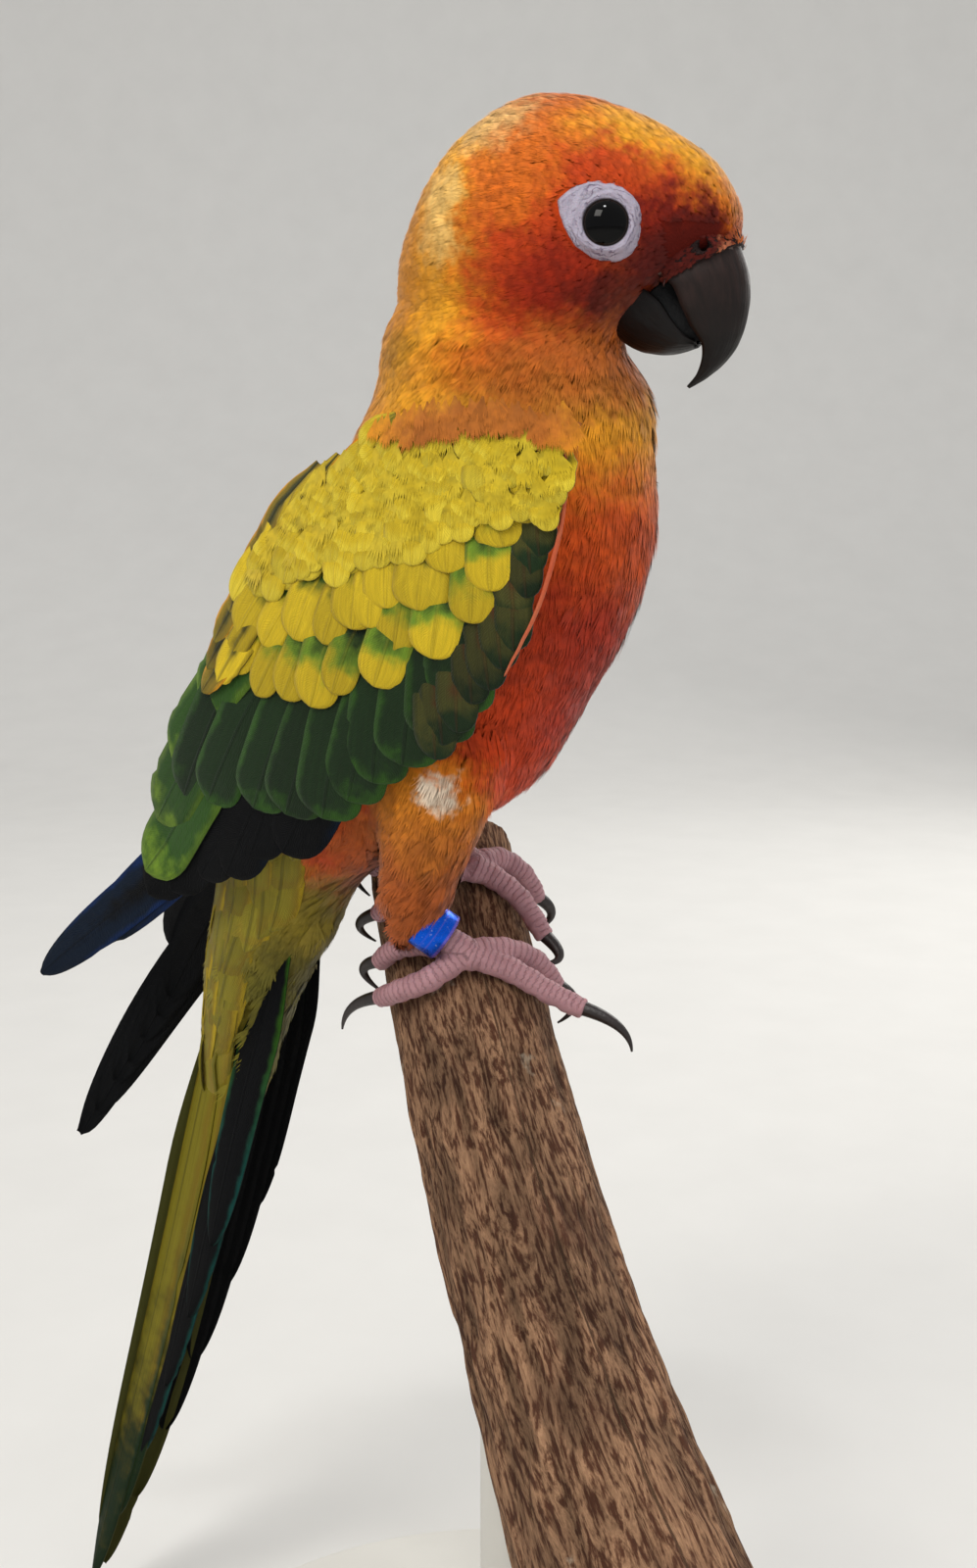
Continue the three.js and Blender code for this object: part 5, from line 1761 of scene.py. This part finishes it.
def foot_piece(side, foot, toes, ankle, material, *nodes):
    """Shank, palm and toes fused, with scutes on top and pads below"""
    forms, lines = [], []
    for way, _ in toes:
        stations = [grip(foot, place) for place in way]
        path = through(stations, 60)
        share = np.linspace(0.0, 1.0, 60)
        knuckles = 1.0 + 0.10 * np.cos(share * 2 * math.pi * 3.0) ** 2 - 0.05
        radii = TOE_RADIUS * (1.0 - 0.22 * share) * knuckles
        radii[-3:] *= [0.97, 0.88, 0.66]
        forms.append(tube(path, radii, 24))
        lines.append(path)
    palm = grip(foot, toes[0][0][0])
    shank = np.linspace(ankle, palm, 30)
    waist = np.interp(np.linspace(0, 1, 30), [0, 0.5, 1], [1, 0.92, 1.1])
    forms.append(tube(shank, SHANK_RADIUS * waist, 24))
    lines.append(shank)
    axis = unit(palm - PERCH.at(foot))
    points, faces = ball(palm, PALM_RADIUS, axis, unit(np.cross(axis, [0, 1, 0])),
                         unit(np.cross(axis, [1, 0, 0])), 20, 24)
    points, faces = merged([closed_rings(rings) for rings in forms] + [(points, faces)])
    piece = outward(new_piece(f"foot_{side}_skin", points, faces))
    remeshed(piece, FOOT_VOXEL, FOOT_SMOOTHING)
    points, normals = points_of(piece), normals_of(piece)
    centres = np.concatenate(lines)
    travel = np.concatenate([np.concatenate([[0], np.cumsum(np.linalg.norm(
        np.diff(line, axis=0), axis=1))]) for line in lines])
    nearest = np.argmin(((points[:, None] - centres[None]) ** 2).sum(2), axis=1)
    radial = unit(points - centres[nearest])
    middle = np.array([PERCH.at(d) for d in np.linspace(0, 60, 121)])
    core = middle[np.argmin(((points[:, None] - middle[None]) ** 2).sum(2), axis=1)]
    upward = (radial * unit(points - core)).sum(1)
    wave = np.abs(np.sin(travel[nearest] * math.pi / SCUTE_LENGTH))
    scutes = smoothstep(-0.1, 0.5, upward) * (0.16 * np.sqrt(wave) - 0.1)
    pads = smoothstep(0.1, 0.7, -upward) * 0.12 * smooth_noise(points * 1.6, 6)
    rough = 0.05 * smooth_noise(points * 2.6, 9)
    store(piece.data, "travel", travel[nearest])
    store(piece.data, "upward", upward)
    shift = scutes + pads + rough
    move_points(piece, points + normals * shift[:, None])
    piece.data.materials.clear()
    piece.data.materials.append(material)
    return settle(piece, "foot_skin", *nodes)


def foot_material():
    """Pinkish skin with broad scutes across the tops of the toes and fine grain between"""
    shader = Finish("foot skin", roughness=0.62, specular=0.3,
                    Subsurface_Weight=0.1, Subsurface_Scale=0.001)
    place = shader.objects()
    tint = shader.noise(place, 300.0, 4.0)
    colour = shader.mix(tint, (0.78, 0.60, 0.62), (0.56, 0.40, 0.42))
    wander = shader.math("MULTIPLY_ADD", shader.noise(place, 700.0, 2.0), 2.4,
                         shader.times(shader.attribute("travel"),
                                     2 * math.pi / SCUTE_LENGTH))
    line = shader.ramp(shader.math("SINE", wander), 0.6, 1.0)
    line = shader.times(line, shader.ramp(shader.attribute("upward"), -0.2, 0.4))
    colour = shader.mix(shader.times(line, 0.28), colour, (0.42, 0.28, 0.30))
    grain = shader.times(shader.cells(place, 2200.0), 0.35)
    return shader.done(colour, shader.bump(shader.math("SUBTRACT", grain, line), 0.0002, 0.8))


def claw_piece(side, foot, number, toe, material):
    """Claw bent from its toe's end down to the bark"""
    way, end = toe
    before, last = grip(foot, way[-2]), grip(foot, way[-1])
    forward = unit(last - before)
    off = unit(last - PERCH.at(foot))
    bow = last + forward * CLAW_BOW[0] + off * CLAW_BOW[1]
    path = quadratic(last - forward * 0.9, bow, grip(foot, end), np.linspace(0, 1, 40))
    radii = lerp(CLAW_RADIUS * 1.05, 0.16, np.linspace(0, 1, 40) ** 1.25)
    points, faces = closed_rings(tube(path, radii, 20))
    piece = outward(new_piece(f"claw_{side}_{number}_horn", points, faces, material))
    return settle(piece, "claw_horn", f"claw_{side}_{number}")


def claw_material():
    shader = Finish("claw horn", roughness=0.38, specular=0.5)
    place = shader.objects()
    tint = shader.noise(place, 420.0, 4.0)
    colour = shader.mix(tint, (0.06, 0.05, 0.05), (0.20, 0.16, 0.15))
    return shader.done(colour, shader.bump(shader.noise(place, 1600.0), 0.0001))


LEG_RING = (3.0, 3.7, 2.3, 0.16)  # inner and outer radius, half height, rounding
LEG_RING_AT = 0.38  # share of the shank from the ankle down


def leg_ring_piece(material):
    """Rounded band round the right shank"""
    palm = grip(NEAR_FOOT, RIGHT_TOES[0][0][0])
    axis = unit(palm - RIGHT_ANKLE)
    centre = lerp(RIGHT_ANKLE, palm, LEG_RING_AT)
    across = unit(np.cross(axis, [0, 1, 0]))
    up = np.cross(axis, across)
    inner, outer, tall, soft = LEG_RING
    profile = [(inner, -tall + soft), (inner + soft, -tall), (outer - soft, -tall), (outer, -tall + soft),
               (outer, tall - soft), (outer - soft, tall), (inner + soft, tall), (inner, tall - soft)]
    points = np.array([centre + axis * high + r * (across * math.cos(t) + up * math.sin(t))
                       for t in turns(96) for r, high in profile])
    faces = [[corner % len(points) for corner in face]
             for face in grid_faces(97, len(profile), around=True)]
    piece = outward(new_piece("leg_ring_band", points, faces, material))
    return settle(piece, "ring_metal", "leg_ring")


def ring_material():
    """Scratched blue metal with a paler violet band round it"""
    shader = Finish("leg ring metal", Metallic=0.85)
    place = shader.objects()
    palm = grip(NEAR_FOOT, RIGHT_TOES[0][0][0])
    axis = unit(palm - RIGHT_ANKLE)
    height = shader.vector("DOT_PRODUCT", place, tuple(axis))
    band = shader.noise(shader.together(shader.times(height, 900.0), 0.3, 0.1), 1.0, 2.0)
    scratches = shader.noise(place, 2200.0, 3.0)
    colour = shader.mix(shader.ramp(band, 0.5, 0.64),
                        (0.03, 0.34, 0.84), (0.45, 0.40, 0.80))
    colour = shader.mix(shader.ramp(scratches, 0.62, 0.74, 0.0, 0.5), colour,
                        (0.70, 0.75, 0.88))
    return shader.done(colour, rough=shader.ramp(scratches, 0.3, 0.7, 0.22, 0.45))


# Perch and stand

BARK_GRID = (372, 240)  # points along the branch and round it
BARK_GRAIN, BARK_FLAKES, BARK_WAVES = 0.30, 0.22, 0.35  # mm of relief
GRIPS = ((NEAR_FOOT, 14.0), (FAR_FOOT, 12.0))  # where feet have worn the bark, and how far


def perch_piece(bark, cut):
    """Branch with long flaking bark and sawn ends"""
    (rows, sides), coarse = BARK_GRID, 6
    distance = np.linspace(0.0, PERCH.length, rows)
    turn = np.linspace(0.0, 360.0, sides, endpoint=False)
    centre = np.array([PERCH.at(d) for d in distance])
    rings = np.array([[PERCH.on(d, t, 0.0) for t in turn] for d in distance[::coarse]])
    full = np.empty((rows, sides, 3))
    for side in range(sides):
        for k in range(3):
            full[:, side, k] = np.interp(distance, distance[::coarse], rings[:, side, k])
    outward_way = unit(full - centre[:, None])
    angle = np.radians(turn)[None, :] * np.ones((rows, 1))
    along = distance[:, None] * np.ones((1, sides))
    spot = np.stack([np.cos(angle) * 4.2, np.sin(angle) * 4.2, along * 0.10], axis=-1).reshape(-1, 3)
    grain = smooth_noise(spot * [2.4, 2.4, 1.1], 1) + 0.5 * smooth_noise(spot * [5.5, 5.5, 2.6], 2)
    flakes = smooth_noise(spot * [1.1, 1.1, 1.6], 3)
    flakes = np.clip(flakes * 3.0, -0.6, 0.6)
    waves = smooth_noise(spot * 0.25, 4)
    height = BARK_GRAIN * grain + BARK_FLAKES * flakes + BARK_WAVES * waves
    worn = sum(np.exp(-((along - foot) / far) ** 2) for foot, far in GRIPS)
    height = height.reshape(rows, sides) * (1.0 - 0.55 * np.clip(worn, 0, 1)) - 0.25
    full = full + outward_way * height[..., None]
    points, faces = closed_rings(full)
    piece = outward(new_piece("perch_bark", points, faces, bark))
    piece.data.materials.append(cut)
    ends = rows * sides
    marks = [1 if max(face.vertices) >= ends else 0 for face in piece.data.polygons]
    piece.data.polygons.foreach_set("material_index", marks)
    piece.data.polygons.foreach_set("use_smooth", [mark == 0 for mark in marks])
    flat = np.column_stack([np.tile(turn / 360.0, rows), np.repeat(distance / 10.0, sides)])
    flat = np.concatenate([flat, [[0.5, 0.0], [0.5, 0.0]]])
    store_map(piece.data, "Bark", flat)
    store(piece.data, "high", np.concatenate([height.ravel(), [0.0, 0.0]]))
    return settle(piece, "bark", "perch")


def bark_material():
    """Long flakes of red-brown bark with stains and pale specks, and painted shade that darkens its
    cracks and other low places
    """
    shader = Finish("bark", roughness=0.9, specular=0.2)
    around, along, _ = shader.apart(shader.node("ShaderNodeUVMap", uv_map="Bark").outputs[0])
    turn = shader.times(around, 2 * math.pi)
    where = shader.together(shader.math("COSINE", turn), shader.math("SINE", turn),
                            shader.times(along, 0.16))
    where = shader.vector("ADD", where, shader.scaled(shader.noise_vector(where, 3.0), 0.22))
    grain = shader.noise(where, 22.0, 5.0, 0.62)
    fine = shader.noise(where, 60.0, 3.0, 0.7)
    stains = shader.noise(shader.objects(), 55.0, 4.0)
    specks = shader.noise(shader.objects(), 130.0, 5.0)
    colour = shader.mix(shader.ramp(grain, 0.4, 0.58),
                        (0.33, 0.20, 0.14), (0.70, 0.54, 0.41))
    layers = (
        (shader.ramp(fine, 0.4, 0.62, 0.35, 0.0), (0.36, 0.24, 0.17)),
        (shader.ramp(stains, 0.56, 0.74, 0.0, 0.5), (0.38, 0.25, 0.19)),
        (shader.ramp(specks, 0.66, 0.74, 0.0, 0.6), (0.84, 0.78, 0.68)),
    )
    for share, layer in layers:
        colour = shader.mix(share, colour, layer)
    # Painted shade: bark darker the lower it lies in its relief, down to 0.45 in the cracks, and a little
    # lighter on its high places
    deep = shader.ramp(shader.attribute("high"), -0.75, 0.05, 0.45, 1.05)
    height = shader.math("ADD", grain, shader.times(fine, 0.7))
    return shader.done(shader.shaded(colour, deep), shader.bump(height, 0.0007))


def cut_wood_material(middle):
    """Sawn wood with growth rings round a middle"""
    shader = Finish("sawn wood", roughness=0.8, specular=0.2)
    place = shader.vector("SUBTRACT", shader.objects(), tuple(placed(middle)))
    rings = shader.math("SINE", shader.times(shader.vector("LENGTH", place), 4200.0))
    wobble = shader.noise(place, 300.0)
    colour = shader.mix(shader.math("MULTIPLY_ADD", rings, 0.3, shader.times(wobble, 0.8)),
                        (0.78, 0.62, 0.42), (0.58, 0.42, 0.27))
    return shader.done(colour, shader.bump(rings, 0.0001))


BASE_RADIUS = 62.0
BASE_THICKNESS = 10.0
BASE_SOFT = 1.6  # rounding of the base's upper edge
BASE_CHAMFER = 0.6
ROD_RADIUS = 3.6
ROD_STATIONS = (0.45, 0.74)  # shares of the branch's length


def stand_pieces(material):
    """Round base with a soft edge, and two rods up to the branch"""
    profile = [(0.01, 0.0), (BASE_RADIUS - BASE_CHAMFER, 0.0), (BASE_RADIUS, BASE_CHAMFER)]
    profile += [(BASE_RADIUS - BASE_SOFT * (1.0 - math.cos(a)),
                 BASE_THICKNESS - BASE_SOFT * (1.0 - math.sin(a)))
                for a in np.linspace(0.0, math.pi / 2, 8)]
    profile.append((0.01, BASE_THICKNESS))
    rings = np.array([[(r * math.cos(t), r * math.sin(t), z) for t in turns(160)]
                      for r, z in profile])
    points, faces = closed_rings(rings - BIRD)
    base = outward(new_piece("display_base", points, faces, material))
    settle(base, "stand_plastic", "stand_base")
    for count, station in enumerate(ROD_STATIONS):
        top = PERCH.at(PERCH.length * station)
        foot = np.array([top[0], top[1], BASE_THICKNESS + 0.1 - BIRD[2]])
        path = np.linspace(foot, top, 12)
        points, faces = closed_rings(tube(path, np.full(12, ROD_RADIUS), 48))
        rod = outward(new_piece(f"display_rod_{count + 1}", points, faces, material))
        settle(rod, "stand_plastic", f"stand_rod_{count + 1}")


def stand_material():
    shader = Finish("moulded stand")
    place = shader.objects()
    colour = shader.mix(shader.noise(place, 60.0, 3.0),
                        (0.80, 0.79, 0.76), (0.86, 0.85, 0.82))
    grain = shader.noise(place, 2600.0, 2.0)
    return shader.done(colour, shader.bump(grain, 0.00005, 0.5),
                       rough=shader.ramp(grain, 0.3, 0.7, 0.38, 0.52))


# Scene

VIEW_TURN = math.radians(20.0)
CAMERA_PLACE = (0.07513, -0.20965, 0.19758)  # m
CAMERA_TILT = math.radians(90.0 - 9.4)
CAMERA_LENS = 38.25  # mm, for a sensor 36 mm high
FLOOR_REACH = (-3.0, 0.9)  # m, the floor's near end and where it starts to bend up
FLOOR_HALF = 4.0
BACKDROP_BEND = 0.8
BACKDROP_HEIGHT = 3.0
WORLD_LIGHT = ((0.90, 0.90, 0.905), 0.72)
MIDDLE = (0.0, 0.0, 0.19)

# Each light: place and target in m, watts, size in m, colour, whether it shines in reflections
LIGHTS = {
    "key": ((-0.25, -0.72, 0.92), MIDDLE, 4.1, 0.4, (1.0, 0.96, 0.90), True),
    "top": ((0.03, -0.3, 1.0), MIDDLE, 1.4, 0.09, (1.0, 1.0, 1.0), True),
    "fill": ((0.8, -0.5, 0.35), MIDDLE, 1.2, 0.6, (0.95, 0.97, 1.0), False),
    "backdrop": ((-0.3, 0.2, 2.4), (-0.5, 1.4, 0.3), 9.0, 1.6, (1.0, 1.0, 1.0), False),
    "rim": ((0.2, 0.8, 0.6), MIDDLE, 3.5, 0.5, (1.0, 0.98, 0.95), True),
}


def add_camera():
    """The photo's view"""
    data = bpy.data.cameras.new("camera")
    data.sensor_fit = "VERTICAL"
    data.sensor_height = 36.0
    data.lens = CAMERA_LENS
    camera = bpy.data.objects.new("camera", data)
    camera.location = CAMERA_PLACE
    camera.rotation_euler = (CAMERA_TILT, 0.0, VIEW_TURN)
    bpy.context.scene.collection.objects.link(camera)
    bpy.context.scene.camera = camera


def add_light(name, place, target, power, size, colour, shines):
    data = bpy.data.lights.new(name, "AREA")
    data.energy, data.size, data.color = power, size, colour
    light = bpy.data.objects.new(name, data)
    light.location = place
    light.visible_glossy = shines
    way = Vector(target) - Vector(place)
    light.rotation_euler = way.to_track_quat("-Z", "Y").to_euler()
    bpy.context.scene.collection.objects.link(light)


def add_floor():
    """Plain pale floor that bends up into a backdrop behind the bird"""
    shader = Finish("pale floor", roughness=0.8, specular=0.2)
    colour = shader.mix(shader.noise(shader.objects(), 30.0),
                        (0.84, 0.835, 0.82), (0.87, 0.865, 0.85))
    material = shader.done(colour)
    near, bend = FLOOR_REACH
    sweep = [(near, 0.0), (bend, 0.0)]
    sweep += [(bend + BACKDROP_BEND * math.sin(a), BACKDROP_BEND * (1.0 - math.cos(a)))
              for a in np.linspace(0.05, math.pi / 2, 24)]
    sweep.append((bend + BACKDROP_BEND, BACKDROP_HEIGHT))
    across = (math.cos(VIEW_TURN), math.sin(VIEW_TURN))
    away = (-across[1], across[0])
    corners = [(away[0] * far + across[0] * side, away[1] * far + across[1] * side, high)
               for far, high in sweep for side in (-FLOOR_HALF, FLOOR_HALF)]
    mesh = bpy.data.meshes.new("floor")
    mesh.from_pydata(corners, [], grid_faces(len(sweep), 2))
    mesh.polygons.foreach_set("use_smooth", [True] * len(mesh.polygons))
    mesh.materials.append(material)
    floor = bpy.data.objects.new("floor", mesh)
    bpy.context.scene.collection.objects.link(floor)
    floor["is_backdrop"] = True


def add_surroundings():
    """Floor and soft studio light"""
    add_floor()
    world = bpy.data.worlds.new("studio")
    bpy.context.scene.world = world
    world.use_nodes = True
    background = world.node_tree.nodes["Background"]
    colour, strength = WORLD_LIGHT
    background.inputs["Color"].default_value = linear(colour)
    background.inputs["Strength"].default_value = strength
    bpy.context.scene.view_settings.view_transform = "Standard"
    for name, light in LIGHTS.items():
        add_light(name, *light)


# Where the small feathers grow

COAT_SAMPLES = 300000
COAT_GAP = 0.185  # share of a feather's length between roots
HEAD_FROM = 97.0  # heights that part the coat into head, neck and trunk
TRUNK_TO = 74.0
CERE_SAMPLES = 16000
CERE_GAP = 0.28
CERE_LENGTH = 1.4


def add_coat(surface, grow, finish):
    """Small feathers in pieces by region of the body"""
    random = np.random.default_rng(SEED)
    roots = coat_roots(surface, COAT_SAMPLES, random, coat_grows, feather_length, COAT_GAP)
    roots = laid(roots, lie_of_coat(roots["place"], roots["up"]), random)
    high, right = roots["place"][:, 2], roots["place"][:, 1] < 0
    head, trunk = high > HEAD_FROM, high <= TRUNK_TO
    count = 0
    for region, within in (("head", head), ("neck", ~head & ~trunk), ("trunk", trunk)):
        for side, beside in (("right", right), ("left", ~right)):
            own = chosen_roots(roots, within & beside)
            settle(grow(f"coat_{region}_{side}", finish, own, SEED + count), "plumage_orange")
            count += 1


def coat_grows(places):
    """Where small feathers root: not under bill or cere, nor on the bare ring of the eye"""
    x, z = places[:, 0], places[:, 2]
    away = from_eye(places)
    turn = np.degrees(np.arctan2(away[:, 2], away[:, 0])) % 360.0
    reach = read_line(ORBIT, turn) - 0.35
    bare = np.linalg.norm(away * [1.0, 0.45, 1.0], axis=1) < reach
    cere = (x > 26.5) & (z < 107.0) & (z > 88)
    gape = (x > 22.5) & (z < 100.5) & (z > 88)
    tail_root = (z < -4.0) & (x < lerp(-36.0, -47.0, -z / 34.0))
    return ~(bare | cere | gape | tail_root | (z < -24.0))


def cere_grows(places):
    """All over the cere but not on the nostrils"""
    near = places.copy()
    near[:, 1] = np.abs(near[:, 1])
    clear = np.linalg.norm((near - NOSTRIL) * [1.0, 0.5, 1.0], axis=1) > 1.45
    return clear & (near[:, 1] < 6.6)


def add_cere_coat(cere, grow, finish):
    """The smallest feathers, over the root of the bill"""
    unwrap(cere)
    random = np.random.default_rng(SEED + 3)
    roots = coat_roots(Surface(cere), CERE_SAMPLES, random, cere_grows,
                       lambda places: np.full(len(places), CERE_LENGTH), CERE_GAP)
    roots = laid(roots, lie_of_coat(roots["place"], roots["up"]), random, high=0.45)
    settle(grow("coat_cere", finish, roots, SEED), "plumage_orange")


def add_head(surface):
    bills = (
        ("upper", UPPER_BILL, (0.065, 0.048, 0.042), (0.19, 0.13, 0.115), 0.9),
        ("lower", LOWER_BILL, (0.06, 0.045, 0.04), (0.13, 0.095, 0.085), 0.6),
    )
    for name, stations, dark, pale, pale_to in bills:
        horn = horn_material(f"{name} bill horn", dark, pale, pale_to)
        bill_piece(f"{name}_bill_horn", stations, horn, f"bill_{name}")
    cere = cere_piece(wrinkled_skin("cere skin", (0.20, 0.07, 0.05), (0.10, 0.035, 0.03), 2600.0))
    # Near-black mouth: partly the dark tongue's own colour, partly painted shade in the gape
    mouth_piece(plain_material("mouth lining", "night", "night"))
    ring_skin = eye_ring_material()
    for side, name in ((1, "left"), (-1, "right")):
        eye_piece(side, name, eye_material(side, name))
        orbit_piece(side, name, surface, ring_skin)
    return cere


def add_legs():
    skin, horn = foot_material(), claw_material()
    feet = (("right", NEAR_FOOT, RIGHT_TOES, RIGHT_ANKLE), ("left", FAR_FOOT, LEFT_TOES, LEFT_ANKLE))
    for side, foot, toes, ankle in feet:
        foot_piece(side, foot, toes, ankle, skin, f"foot_{side}", f"shank_{side}")
        for number, toe in enumerate(toes):
            claw_piece(side, foot, number + 1, toe, horn)
    leg_ring_piece(ring_material())


def main():
    add_camera()
    add_surroundings()
    markings, detail = plumage_markings(), feather_detail()
    flesh = skin_material(markings)
    skin = body_skin(flesh)
    unwrap(skin)
    surface = Surface(skin)
    tufts, tree = tuft_collection(), coat_tree()

    def grow(name, finish, roots, seed):
        return coat_piece(name, tree, tufts, finish, roots, seed)

    coat = plumage_material("small feathers", markings, 0.4)
    add_coat(surface, grow, coat)
    settle(skin, "plumage_orange", "head", "neck", "torso", "thigh_left", "thigh_right")
    finishes = {name: vane_material(name, detail) for name in VANE_LOOKS}
    finishes["arm"], finishes["coat"] = flesh, coat
    finishes["down"] = plumage_material("soft coverts", None, 0.16)
    finishes["edge"] = plain_material("wing edge", "blush", "flame")
    feathered_wing("right", RIGHT_WING, finishes, grow, SEED + 1)
    feathered_wing("left", LEFT_WING, finishes, grow, SEED + 2)
    feathered_back(surface, finishes)
    feathered_tail(finishes)
    cere = add_head(surface)
    add_cere_coat(cere, grow, coat)
    for shape in list(tufts.objects):
        bpy.data.objects.remove(shape)
    bpy.data.collections.remove(tufts)
    add_legs()
    perch_piece(bark_material(), cut_wood_material(PERCH.at(0.0)))
    stand_pieces(stand_material())


main()
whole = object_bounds()
[[list(corner) for corner in box] for box in (cad_box, whole)]
